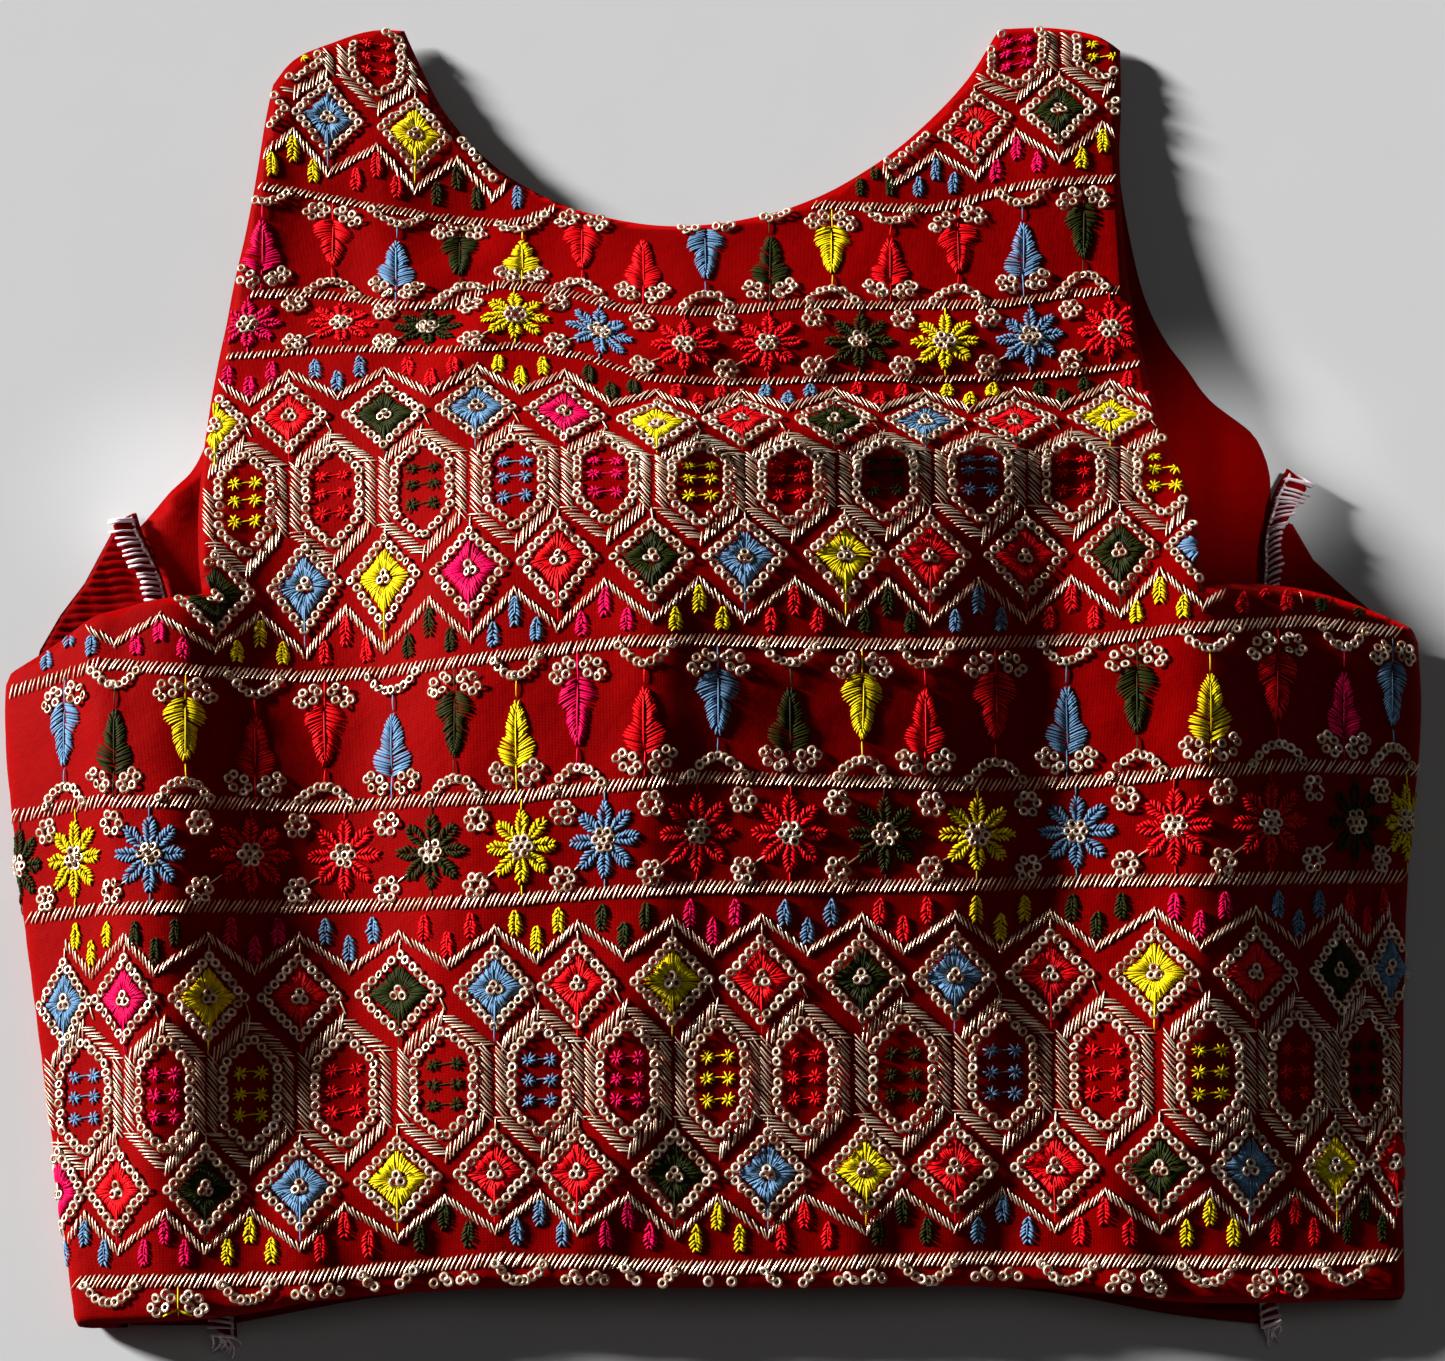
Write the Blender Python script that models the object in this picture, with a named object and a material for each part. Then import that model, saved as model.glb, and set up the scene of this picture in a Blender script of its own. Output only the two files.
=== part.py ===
"""A sleeveless blouse laid out on a flat surface, front up.

The blouse is six cut pieces: an embroidered front that wraps round both sides,
a plain back, a shirred elastic panel at each side between the two, and the
overlocked allowance that stands along each back seam. The front is puffed over
the bust and lies low at the shoulders, and everything below it rests flat.

Frame: X across the body, Y from the hem to the shoulders, Z up. The origin is
under the middle of the laid-out garment. Tables are in millimetres on the plan.
"""
import math

import bmesh
import bpy
import numpy as np
from mathutils import Vector
from mathutils.geometry import delaunay_2d_cdt

MM = 0.001

# Driving dimensions, in millimetres
FRONT_WALL = 1.8
BACK_WALL = 1.5
SEAM_GAP = 0.3
EDGE_RADIUS = 5.0
FLANGE = 10.0
MESH_STEP = 11.0
EDGE_STEP = 9.0
ROLL_STEPS = 4
RIB_PITCH = 2.7
RIB_HEIGHT = 1.2
RIB_MARGIN = 2.5
ALLOWANCE_WIDTH = 8.0
ALLOWANCE_WALL = 1.2
ALLOWANCE_STEP = 12.0
FOLD_END = 0.25
FOLD_REACH = 0.6
EDGE_CLEAR = 0.35
CENTRE_X = 0.67
CENTRE_Y = -1.01

# The front's height across the body, at stations up from the hem.
# Left and right crests are the lines where the cloth turns down to the sides:
# their place, height, reach out to the garment's edge and radius of the turn.
SECTION_COLUMNS = ("y", "middle_z",
                   "left_x", "left_z", "left_reach", "left_radius",
                   "right_x", "right_z", "right_reach", "right_radius")
SECTIONS = np.array((
    (-208, 14.0, -152, 13.5, 29.0, 12, 142, 13.0, 56.2, 30),
    (-170, 23.0, -156, 19.5, 31.6, 12, 142, 20.0, 57.6, 36),
    (-120, 34.0, -163, 24.0, 33.6, 12, 142, 26.0, 60.4, 42),
    (-70, 43.0, -170, 27.0, 35.4, 12, 142, 29.0, 64.6, 45),
    (-20, 50.0, -177, 28.5, 35.0, 12, 142, 30.0, 71.2, 45),
    (10, 50.5, -181, 27.0, 30.2, 12, 142, 27.0, 71.2, 45),
    (40, 46.0, -181, 20.5, 30.2, 12, 142, 22.0, 71.2, 45),
    (75, 36.0, -181, 14.5, 30.2, 12, 142, 17.0, 71.2, 45),
    (105, 24.0, -181, 11.0, 30.2, 12, 142, 12.5, 71.2, 45),
    (134, 13.0, -181, 8.5, 30.2, 12, 142, 9.5, 71.2, 45),
    (165, 9.5, -181, 6.5, 30.2, 12, 142, 7.0, 71.2, 45),
    (190, 6.2, -181, 4.8, 30.2, 12, 142, 5.0, 71.2, 45),
    (210, 4.2, -181, 4.0, 30.2, 12, 142, 4.0, 71.2, 45),
), dtype=float)
SECTION = {name: SECTIONS[:, i] for i, name in enumerate(SECTION_COLUMNS)}

# The larger folds: each is a soft ridge, or a trough where its height is
# negative, along a line on the plan from x0, y0 to x1, y1.
FOLD_COLUMNS = ("x0", "y0", "x1", "y1", "height", "width")
FOLDS = (
    (-18, 20, -17, -96, 3.4, 12),
    (-17, -84, -31, -164, 2.6, 11),
    (-4, 136, -16, 5, 1.8, 12),
    (-118, 80, -114, -192, -8.0, 28),
    (101, 66, 95, -175, -4.4, 17),
    (145, 52, 139, -62, 2.4, 10),
    (140, -50, 133, -192, 2.6, 10),
    (-108, 96, -52, 132, 2.6, 9),
    (-90, 60, -58, 114, 2.4, 9),
    (-48, 49, 146, 56, 2.8, 9),
    (-50, 71, 148, 78, -2.6, 10),
    (-16, -138, -46, -212, 2.2, 9),
    (112, -150, 120, -212, 2.0, 9),
    (-118, -160, -113, -214, 1.8, 8),
    (38, -160, 43, -214, 1.6, 8),
    (-73, -160, -78, -214, -1.8, 9),
    (82, -160, 83, -214, -1.8, 9),
    (-132, 182, -116, 138, 1.2, 9),
    (112, 182, 104, 138, 1.2, 9),
)

# The front's edge, anticlockwise from the hem. Where it passes a crest the
# first column is the run of cloth past the crest, and elsewhere it is x.
HEM_LEFT = ((30, -206.0), (8, -205.9))
HEM_MIDDLE = ((-137, -204.5), (-114, -200.9), (-88, -198.0), (-31, -196.9), (25, -197.0),
              (94, -196.6), (133, -200.4))
HEM_RIGHT = ((22, -200.3), (54, -198.2))
HEM_END_LEFT_Y = -205.5
HEM_END_RIGHT_Y = -197.6
UNDERARM_RIGHT = ((72, 3.4), (59, 7.7), (46, 11.1), (31.5, 13.1), (15.5, 12.4))
UNDERARM_END_RIGHT_Y = -3.0
ARMHOLE_RIGHT = ((146.6, 10.2), (145.8, 29.9), (143.0, 46.7), (137.8, 63.7), (133.5, 84.3),
                 (129.9, 108.8), (128.2, 140.0), (128.2, 160.0), (129.5, 181.0), (129.9, 199.0))
SHOULDER_RIGHT = ((129.9, 199.0), (125.2, 203.0), (110.9, 206.8), (91.6, 207.0))
NECK = ((91.6, 207.0), (80.0, 187.0), (67.6, 172.0), (53.6, 158.8), (27.0, 142.6), (-9.8, 134.4),
        (-44.1, 141.2), (-72.4, 160.6), (-83.4, 174.6), (-93.0, 194.5), (-98.0, 206.3))
SHOULDER_LEFT = ((-98.0, 206.3), (-104.1, 206.6), (-121.5, 201.4), (-133.6, 195.2), (-138.8, 186.0))
ARMHOLE_LEFT = ((-138.8, 186.0), (-144.6, 133.8), (-148.8, 105.5), (-153.0, 70.7),
                (-154.2, 46.7), (-152.6, 20.4), (-150.3, 6.4))
UNDERARM_LEFT = ((3, 1.0), (15, -3.5), (31, -8.4), (43, -11.5))
UNDERARM_END_LEFT_Y = -13.0

# The seams between the back and the side panels, from the top down: x, y.
SEAM_LEFT = ((-175.5, 38.0), (-169.8, 25.0), (-165.0, 11.0), (-157.0, -60.0),
             (-147.0, -130.0), (-137.0, -204.4))
SEAM_RIGHT = ((171.4, 44.0), (171.0, 38.0), (169.2, 19.0), (166.0, -60.0),
              (162.5, -130.0), (158.5, -204.6))

# The back's edge where the seams do not set it: x, y.
BACK_HEM = ((-137.0, -204.4), (-90.0, -196.0), (-30.0, -192.0), (25.0, -191.5), (70.0, -192.8),
            (101.1, -196.0), (133.9, -202.0), (158.5, -204.6))
BACK_ARMHOLE_RIGHT = ((171.4, 44.0), (171.2, 58.6), (167.0, 69.2), (156.4, 77.4), (149.0, 87.2),
                      (136.6, 110.4), (130.8, 137.5), (128.0, 165.0), (127.4, 196.0))
BACK_SHOULDER_RIGHT = ((127.4, 196.0), (124.0, 200.5), (110.0, 204.0), (95.0, 204.0))
BACK_NECK = ((95.0, 204.0), (88.0, 183.0), (72.0, 157.0), (40.0, 131.0), (-4.0, 121.0),
             (-46.0, 131.0), (-78.0, 157.0), (-93.0, 183.0), (-102.0, 203.0))
BACK_SHOULDER_LEFT = ((-102.0, 203.0), (-106.0, 203.4), (-121.0, 198.0), (-131.0, 192.5),
                      (-136.0, 184.0))
BACK_ARMHOLE_LEFT = ((-136.0, 184.0), (-142.0, 134.0), (-149.0, 96.0), (-154.4, 69.0),
                     (-161.0, 54.6), (-167.2, 47.6), (-175.5, 38.0))

# The side panels' free top edges, from the seam down to the front's edge: x, y.
SIDE_TOP_LEFT = ((-183.0, 37.4), (-186.0, 31.0), (-190.8, 20.4), (-197.6, 10.2), (-203.2, -1.0),
                 (-204.6, -8.0), (-196.0, -11.6))
SIDE_TOP_RIGHT = ((177.8, 39.6), (183.6, 28.0), (193.4, 18.0), (202.0, 10.0), (207.0, 5.8),
                  (197.4, -1.5))
SIDE_HEM_LEFT_Y = -204.8
SIDE_HEM_RIGHT_Y = -196.5

# The allowances' foot, from the top down: x, y and lean from upright in degrees.
ALLOWANCE_LEFT = ((-176.0, 42.5, 66), (-173.9, 36.0, 56), (-168.6, 25.0, 50), (-164.0, 11.0, 48),
                  (-156.0, -60.0, 50), (-146.0, -130.0, 50), (-136.4, -200.0, 50), (-135.6, -208.6, 58))
ALLOWANCE_RIGHT = ((176.6, 57.0, 80), (171.6, 47.0, 66), (170.0, 38.0, 34), (168.2, 19.0, 26),
                   (165.0, -60.0, 28), (161.5, -130.0, 28), (157.6, -198.0, 30), (157.2, -206.0, 42))

# Cloth colours, linear
FRONT_RED = (0.42, 0.004, 0.008, 1.0)
BACK_RED = (0.36, 0.004, 0.008, 1.0)
SHIRRED_RED = (0.34, 0.004, 0.008, 1.0)
OVERLOCK_PINK = (0.62, 0.22, 0.24, 1.0)
CLOTH_ROUGHNESS = 0.62


def along(stations, values, at):
    """Value of a table's column at any station: a cubic whose slopes follow the neighbours."""
    slopes = np.gradient(values, stations)
    row = np.clip(np.searchsorted(stations, at) - 1, 0, len(stations) - 2)
    step = stations[row + 1] - stations[row]
    t = np.clip((at - stations[row]) / step, 0.0, 1.0)
    return (values[row] * (1 + 2 * t) * (1 - t) ** 2
            + step * slopes[row] * t * (1 - t) ** 2
            + values[row + 1] * t * t * (3 - 2 * t)
            + step * slopes[row + 1] * t * t * (t - 1))


def section(name, y):
    """One column of the sections table at plan y."""
    return along(SECTION["y"], SECTION[name], y)


def smooth_step(t):
    """Rise from 0 to 1 with level ends."""
    t = np.clip(t, 0.0, 1.0)
    return t * t * (3 - 2 * t)


def roll_sizes(side, y):
    """Turn angle at the crest, then lengths of the crest arc, the slope and the floor arc."""
    radius = section(side + "_radius", y)
    across = section(side + "_reach", y) - EDGE_RADIUS
    drop = section(side + "_z", y) - radius - EDGE_RADIUS
    centres = np.hypot(across, drop)
    turn = np.arctan2(drop, across) + np.arcsin((radius - EDGE_RADIUS) / centres)
    slope = np.sqrt(centres ** 2 - (radius - EDGE_RADIUS) ** 2)
    return turn, radius * turn, slope, EDGE_RADIUS * (np.pi - turn)


def roll_length(side, y):
    """Cloth from the crest to where the side lies flat under the blouse."""
    turn, crest_arc, slope, floor_arc = roll_sizes(side, y)
    return crest_arc + slope + floor_arc


def roll(side, run, y):
    """Distance out and height after a run of cloth past a crest: arc, slope, arc, flange."""
    turn, crest_arc, slope, floor_arc = roll_sizes(side, y)
    radius = section(side + "_radius", y)
    first = np.clip(run, 0, crest_arc) / radius
    second = np.clip(run - crest_arc, 0, slope)
    third = np.clip(run - crest_arc - slope, 0, floor_arc) / EDGE_RADIUS
    under = np.maximum(run - crest_arc - slope - floor_arc, 0)
    out = (radius * np.sin(first) + second * np.cos(turn)
           + EDGE_RADIUS * (np.sin(turn + third) - np.sin(turn)) - under)
    height = (section(side + "_z", y) - radius * (1 - np.cos(first)) - second * np.sin(turn)
              - EDGE_RADIUS * (np.cos(turn) - np.cos(turn + third)))
    return out, height


def fold_height(x, y):
    """Sum of the folds at a place on the plan."""
    total = np.zeros_like(x)
    for x0, y0, x1, y1, height, width in FOLDS:
        length = math.hypot(x1 - x0, y1 - y0)
        ux, uy = (x1 - x0) / length, (y1 - y0) / length
        t = ((x - x0) * ux + (y - y0) * uy) / length
        offset = (x - x0) * uy - (y - y0) * ux
        ends = smooth_step(t / FOLD_END) * smooth_step((1 - t) / FOLD_END)
        total += height * ends * np.exp(-(offset / width) ** 2)
    return total


def front_place(u, y):
    """The front's outer face: u is x between the crests and the run of cloth past them."""
    left_x, right_x = section("left_x", y), section("right_x", y)
    left_z, right_z = section("left_z", y), section("right_z", y)
    across = np.clip((2 * u - left_x - right_x) / (right_x - left_x), -1, 1)
    dome = np.cos(0.5 * np.pi * across) ** 2
    edge = left_z + (right_z - left_z) * (across + 1) / 2
    middle = edge * (1 - dome) + section("middle_z", y) * dome
    left_run = np.maximum(left_x - u, 0)
    right_run = np.maximum(u - right_x, 0)
    left_out, left_height = roll("left", left_run, y)
    right_out, right_height = roll("right", right_run, y)
    x = np.where(left_run > 0, left_x - left_out, np.where(right_run > 0, right_x + right_out, u))
    z = np.where(left_run > 0, left_height, np.where(right_run > 0, right_height, middle))
    fade = (1 - smooth_step(left_run / (FOLD_REACH * roll_length("left", y)))) * (
        1 - smooth_step(right_run / (FOLD_REACH * roll_length("right", y))))
    return np.stack((x, y, z + fade * fold_height(x, y)), axis=-1)


def flat_place(height):
    """A place function for a piece that lies flat, with its upper face at a height."""
    return lambda x, y: np.stack((x, y, np.full_like(x, height)), axis=-1)


def past(side, rows):
    """Edge rows given as a run past a crest, as chart points."""
    sign = -1 if side == "left" else 1
    return [(float(section(side + "_x", y)) + sign * run, y) for run, y in rows]


def flange_end(side, y):
    """The last chart point round a side at plan y, as a list of one."""
    return past(side, ((float(roll_length(side, y)) + FLANGE, y),))


def rounded(points, step):
    """Points every step along a smooth curve through the given ones, without its last point."""
    points = np.asarray(points, dtype=float)
    chord = np.concatenate(((0,), np.cumsum(np.hypot(*np.diff(points, axis=0).T))))
    count = max(1, round(chord[-1] / step))
    at = np.linspace(0, chord[-1], count + 1)[:-1]
    return list(zip(along(chord, points[:, 0], at), along(chord, points[:, 1], at)))


def side_edge(side, y_from, y_to, step):
    """The front's hidden edge under one side, on the flange, without its last point."""
    sign = -1 if side == "left" else 1
    count = round(abs(y_to - y_from) / step)
    y = np.linspace(y_from, y_to, count + 1)[:-1]
    u = section(side + "_x", y) + sign * (roll_length(side, y) + FLANGE)
    return list(zip(u, y))


def front_outline():
    """The front's whole edge on its chart, anticlockwise."""
    left_end = flange_end("left", HEM_END_LEFT_Y)
    right_end = flange_end("right", HEM_END_RIGHT_Y)
    right_top = flange_end("right", UNDERARM_END_RIGHT_Y)
    left_top = flange_end("left", UNDERARM_END_LEFT_Y)
    hem = left_end + past("left", HEM_LEFT) + list(HEM_MIDDLE) + past("right", HEM_RIGHT) + right_end
    under_right = right_top + past("right", UNDERARM_RIGHT) + [ARMHOLE_RIGHT[0]]
    under_left = [ARMHOLE_LEFT[-1]] + past("left", UNDERARM_LEFT) + left_top
    outline = rounded(hem, EDGE_STEP)
    outline += side_edge("right", HEM_END_RIGHT_Y, UNDERARM_END_RIGHT_Y, EDGE_STEP)
    for stretch in (under_right, ARMHOLE_RIGHT, SHOULDER_RIGHT, NECK, SHOULDER_LEFT, ARMHOLE_LEFT,
                    under_left):
        outline += rounded(stretch, EDGE_STEP)
    outline += side_edge("left", UNDERARM_END_LEFT_Y, HEM_END_LEFT_Y, EDGE_STEP)
    return outline


def clear_of(outline, points, margin):
    """The points that lie inside a closed outline and clear of its edge."""
    corners = np.asarray(outline)
    nexts = np.roll(corners, -1, axis=0)
    points = np.asarray(points)[:, None, :]
    span = nexts - corners
    t = np.clip(((points - corners) * span).sum(2) / (span ** 2).sum(1), 0, 1)
    gap = np.linalg.norm(points - (corners + t[..., None] * span), axis=2).min(1)
    px, py = points[..., 0], points[..., 1]
    crosses = (corners[:, 1] > py) != (nexts[:, 1] > py)
    rise = np.where(span[:, 1] == 0, 1.0, span[:, 1])
    at = corners[:, 0] + (py - corners[:, 1]) * span[:, 0] / rise
    inside = (crosses & (px < at)).sum(1) % 2 == 1
    return points[inside & (gap > margin), 0, :]


def front_rows():
    """Chart points inside the front: rows up the body, closer together round each side."""
    rows = []
    for y in np.arange(-200.0, 206.0, MESH_STEP):
        left_x, right_x = float(section("left_x", y)), float(section("right_x", y))
        count = round((right_x - left_x) / MESH_STEP)
        row = list(np.linspace(left_x, right_x, count + 1))
        for side, start, sign in (("left", left_x, -1), ("right", right_x, 1)):
            turn, crest_arc, slope, floor_arc = (float(v) for v in roll_sizes(side, y))
            slopes = max(1, round((crest_arc + slope) / MESH_STEP))
            runs = list(np.linspace(0, crest_arc + slope, slopes + 1)[1:])
            runs += [crest_arc + slope + floor_arc * k / ROLL_STEPS for k in range(1, ROLL_STEPS + 1)]
            row += [start + sign * run for run in runs]
        rows += [(u, y) for u in row]
    return rows


def wall(name, outline, inside, place, thickness, colour):
    """A cloth wall: a triangulated outline placed in space, its inner face and its cut edge."""
    flat = [Vector(p) for p in list(outline) + [tuple(p) for p in inside]]
    chart, _, faces, _, _, _ = delaunay_2d_cdt(flat, [], [list(range(len(outline)))], 1, 1e-4)
    chart = np.array([tuple(v) for v in chart])
    places = place(chart[:, 0], chart[:, 1])
    mesh = bmesh.new()
    outer = [mesh.verts.new(p) for p in places]
    for face in faces:
        mesh.faces.new([outer[i] for i in face])
    mesh.normal_update()
    rim = [edge for edge in mesh.edges if len(edge.link_faces) == 1]
    mesh.verts.index_update()
    ends = [tuple(v.index for v in edge.verts) for edge in rim]
    inner = [mesh.verts.new(v.co - v.normal * thickness) for v in outer]
    for face in faces:
        mesh.faces.new([inner[i] for i in reversed(face)])
    for a, b in ends:
        mesh.faces.new((outer[a], outer[b], inner[b], inner[a]))
    return finish(name, mesh, colour)


def seam_x(rows, y):
    """A seam's x at plan y, from its rows."""
    table = np.array(sorted((row[1], row[0]) for row in rows))
    return np.interp(y, table[:, 0], table[:, 1])


def shirred_panel(name, side, seam, top, hem_y, colour):
    """A side panel lying flat, with its gathers raised across it as even ribs."""
    sign = -1 if side == "left" else 1
    join_y = top[-1][1]
    count = round((top[0][1] - hem_y) / (RIB_PITCH / 2))
    mesh = bmesh.new()
    upper, lower = [], []
    for i in range(count + 1):
        y = top[0][1] + (hem_y - top[0][1]) * i / count
        flange_x = section(side + "_x", y) + sign * (section(side + "_reach", y) - EDGE_RADIUS - FLANGE)
        outer_x = float(seam_x(top, y)) if y > join_y else float(flange_x) - sign * SEAM_GAP
        inner_x = float(seam_x(seam, y)) + sign * SEAM_GAP
        margin = min(RIB_MARGIN, abs(outer_x - inner_x) / 3)
        across = (inner_x, inner_x + sign * margin, (inner_x + outer_x) / 2,
                  outer_x - sign * margin, outer_x)
        rise = RIB_HEIGHT if i % 2 and i < count else 0.0
        heights = (0, rise, rise, rise, 0)
        upper.append([mesh.verts.new((x, y, BACK_WALL + h)) for x, h in zip(across, heights)])
        lower.append([mesh.verts.new((x, y, 0)) for x in (inner_x, outer_x)])
    for i in range(count):
        for j in range(4):
            mesh.faces.new((upper[i][j], upper[i][j + 1], upper[i + 1][j + 1], upper[i + 1][j]))
        mesh.faces.new((lower[i][0], lower[i + 1][0], lower[i + 1][1], lower[i][1]))
        for j, k in ((0, 0), (4, 1)):
            mesh.faces.new((upper[i][j], upper[i + 1][j], lower[i + 1][k], lower[i][k]))
    for i in (0, count):
        mesh.faces.new(upper[i] + [lower[i][1], lower[i][0]])
    return finish(name, mesh, colour)


def seam_allowance(name, rows, sign, colour):
    """The overlocked edge that stands along a back seam and leans out over the side panel."""
    table = np.array(rows, dtype=float)
    chord = np.concatenate(((0,), np.cumsum(np.hypot(*np.diff(table[:, :2], axis=0).T))))
    count = round(chord[-1] / ALLOWANCE_STEP)
    at = np.linspace(0, chord[-1], count + 1)
    foot = np.stack([along(chord, table[:, i], at) for i in (0, 1)], axis=1)
    lean = np.radians(along(chord, table[:, 2], at))
    heading = np.gradient(foot, axis=0)
    heading /= np.linalg.norm(heading, axis=1)[:, None]
    outward = np.stack((-sign * heading[:, 1], sign * heading[:, 0]), axis=1)
    mesh = bmesh.new()
    rings = []
    for (x, y), (ox, oy), a in zip(foot, outward, lean):
        base = Vector((x, y, BACK_WALL + SEAM_GAP + ALLOWANCE_WALL / 2 * math.sin(a)))
        rise = Vector((ox * math.sin(a), oy * math.sin(a), math.cos(a))) * ALLOWANCE_WIDTH
        half = Vector((-ox * math.cos(a), -oy * math.cos(a), math.sin(a))) * ALLOWANCE_WALL / 2
        corners = (base - half, base + half, base + rise + half, base + rise - half)
        rings.append([mesh.verts.new(c) for c in corners])
    for a, b in zip(rings, rings[1:]):
        for j in range(4):
            k = (j + 1) % 4
            mesh.faces.new((a[j], a[k], b[k], b[j]))
    mesh.faces.new(rings[0])
    mesh.faces.new(rings[-1])
    return finish(name, mesh, colour)


def finish(name, mesh, colour):
    """Turn a mesh in millimetres into a named object in metres with its own cloth material."""
    bmesh.ops.recalc_face_normals(mesh, faces=mesh.faces)
    bmesh.ops.triangulate(mesh, faces=mesh.faces)
    for vert in mesh.verts:
        vert.co = Vector((vert.co.x - CENTRE_X, vert.co.y - CENTRE_Y, vert.co.z)) * MM
    data = bpy.data.meshes.new(name)
    mesh.to_mesh(data)
    mesh.free()
    cloth = bpy.data.materials.new(name + "_cloth")
    cloth.use_nodes = True
    shader = cloth.node_tree.nodes["Principled BSDF"]
    shader.inputs["Base Color"].default_value = colour
    shader.inputs["Roughness"].default_value = CLOTH_ROUGHNESS
    shader.inputs["Metallic"].default_value = 0.0
    data.materials.append(cloth)
    data.shade_smooth()
    piece = bpy.data.objects.new(name, data)
    bpy.context.scene.collection.objects.link(piece)
    return piece


def back_outline():
    """The back's edge on the plan, anticlockwise."""
    outline = rounded(BACK_HEM, EDGE_STEP)
    outline += rounded(SEAM_RIGHT[::-1], EDGE_STEP)
    for stretch in (BACK_ARMHOLE_RIGHT, BACK_SHOULDER_RIGHT, BACK_NECK, BACK_SHOULDER_LEFT,
                    BACK_ARMHOLE_LEFT):
        outline += rounded(stretch, EDGE_STEP)
    outline += rounded(SEAM_LEFT, EDGE_STEP)
    return outline


def build():
    """Clear the scene and make the six cut pieces."""
    for thing in list(bpy.data.objects):
        bpy.data.objects.remove(thing, do_unlink=True)
    outline = front_outline()
    inside = clear_of(outline, front_rows(), MESH_STEP * EDGE_CLEAR)
    wall("front_panel", outline, inside, front_place, FRONT_WALL, FRONT_RED)
    wall("back_panel", back_outline(), (), flat_place(BACK_WALL), BACK_WALL, BACK_RED)
    shirred_panel("side_panel_left", "left", SEAM_LEFT, SIDE_TOP_LEFT, SIDE_HEM_LEFT_Y, SHIRRED_RED)
    shirred_panel("side_panel_right", "right", SEAM_RIGHT, SIDE_TOP_RIGHT, SIDE_HEM_RIGHT_Y,
                  SHIRRED_RED)
    seam_allowance("seam_allowance_left", ALLOWANCE_LEFT, -1, OVERLOCK_PINK)
    seam_allowance("seam_allowance_right", ALLOWANCE_RIGHT, 1, OVERLOCK_PINK)


build()
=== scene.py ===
"""Looks of a sleeveless blouse laid out on a flat surface, front up.

The red cloth pieces stand for the six cut pieces of the part. The embroidery is
laid out in rows, in pixels of the 1445 x 1361 picture, and is carried from there
onto the front's surface: metal thread borders, zigzags and hexagons, leaves,
flowers, diamonds, stars and drops in coloured thread, and ring sequins.
"""
import functools
import math

import bpy
import numpy as np
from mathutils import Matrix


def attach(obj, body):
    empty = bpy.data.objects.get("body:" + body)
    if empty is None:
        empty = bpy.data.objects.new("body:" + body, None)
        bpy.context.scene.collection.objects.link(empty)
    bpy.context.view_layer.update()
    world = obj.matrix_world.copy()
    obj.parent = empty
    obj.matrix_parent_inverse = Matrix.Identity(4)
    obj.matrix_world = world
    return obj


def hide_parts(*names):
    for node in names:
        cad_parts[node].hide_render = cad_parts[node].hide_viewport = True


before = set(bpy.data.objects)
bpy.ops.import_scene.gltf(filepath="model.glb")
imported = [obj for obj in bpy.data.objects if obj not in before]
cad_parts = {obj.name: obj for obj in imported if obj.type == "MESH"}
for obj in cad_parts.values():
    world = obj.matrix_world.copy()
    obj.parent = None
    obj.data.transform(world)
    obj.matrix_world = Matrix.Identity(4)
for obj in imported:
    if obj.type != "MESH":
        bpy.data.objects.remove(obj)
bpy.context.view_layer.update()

bl_info = {
    "name": "Embroidered Sleeveless Blouse",
    "version": (1, 0, 0),
    "blender": (4, 5, 0),
    "location": "3D View > Sidebar > Blouse",
    "description": "Makes a cropped sleeveless blouse laid flat, with its embroidery and sequins",
    "category": "Mesh",
}

MM = 0.001

# Driving dimensions that the cloth pieces share with the part, in millimetres
BACK_WALL, SEAM_GAP, EDGE_RADIUS, FLANGE = 1.5, 0.3, 5.0, 10.0
RIB_PITCH, RIB_HEIGHT = 2.7, 1.2
ALLOWANCE_WIDTH, ALLOWANCE_WALL = 8.0, 1.2
CENTRE_X, CENTRE_Y = 0.67, -1.01
# Shares of a fold's length over which it fades at its ends, and of a side's roll that folds reach down
FOLD_END, FOLD_REACH = 0.25, 0.6
# Heights of the long and short puckers, and the step between the points of a cut edge
PUCKER_LONG, PUCKER_SHORT, EDGE_STEP = 0.5, 0.2, 4.0

# The picture: its size in pixels and millimetres a pixel at the target, then the camera's
# tilt from straight down, its distance, its sensor and its target.
PICTURE_WIDTH, PICTURE_HEIGHT, PIXEL = 1445, 1361, 0.2968
TILT, DISTANCE, SENSOR = math.radians(18), 1150.0, 36.0
TARGET = np.array((3.4, -16.9, 20.0))
# The coarse picture grid's step and margin in pixels, and the least pace of the rows round a side
PICTURE_STEP, PICTURE_MARGIN, TURNED_PACE = 10, 60, 0.45

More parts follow.
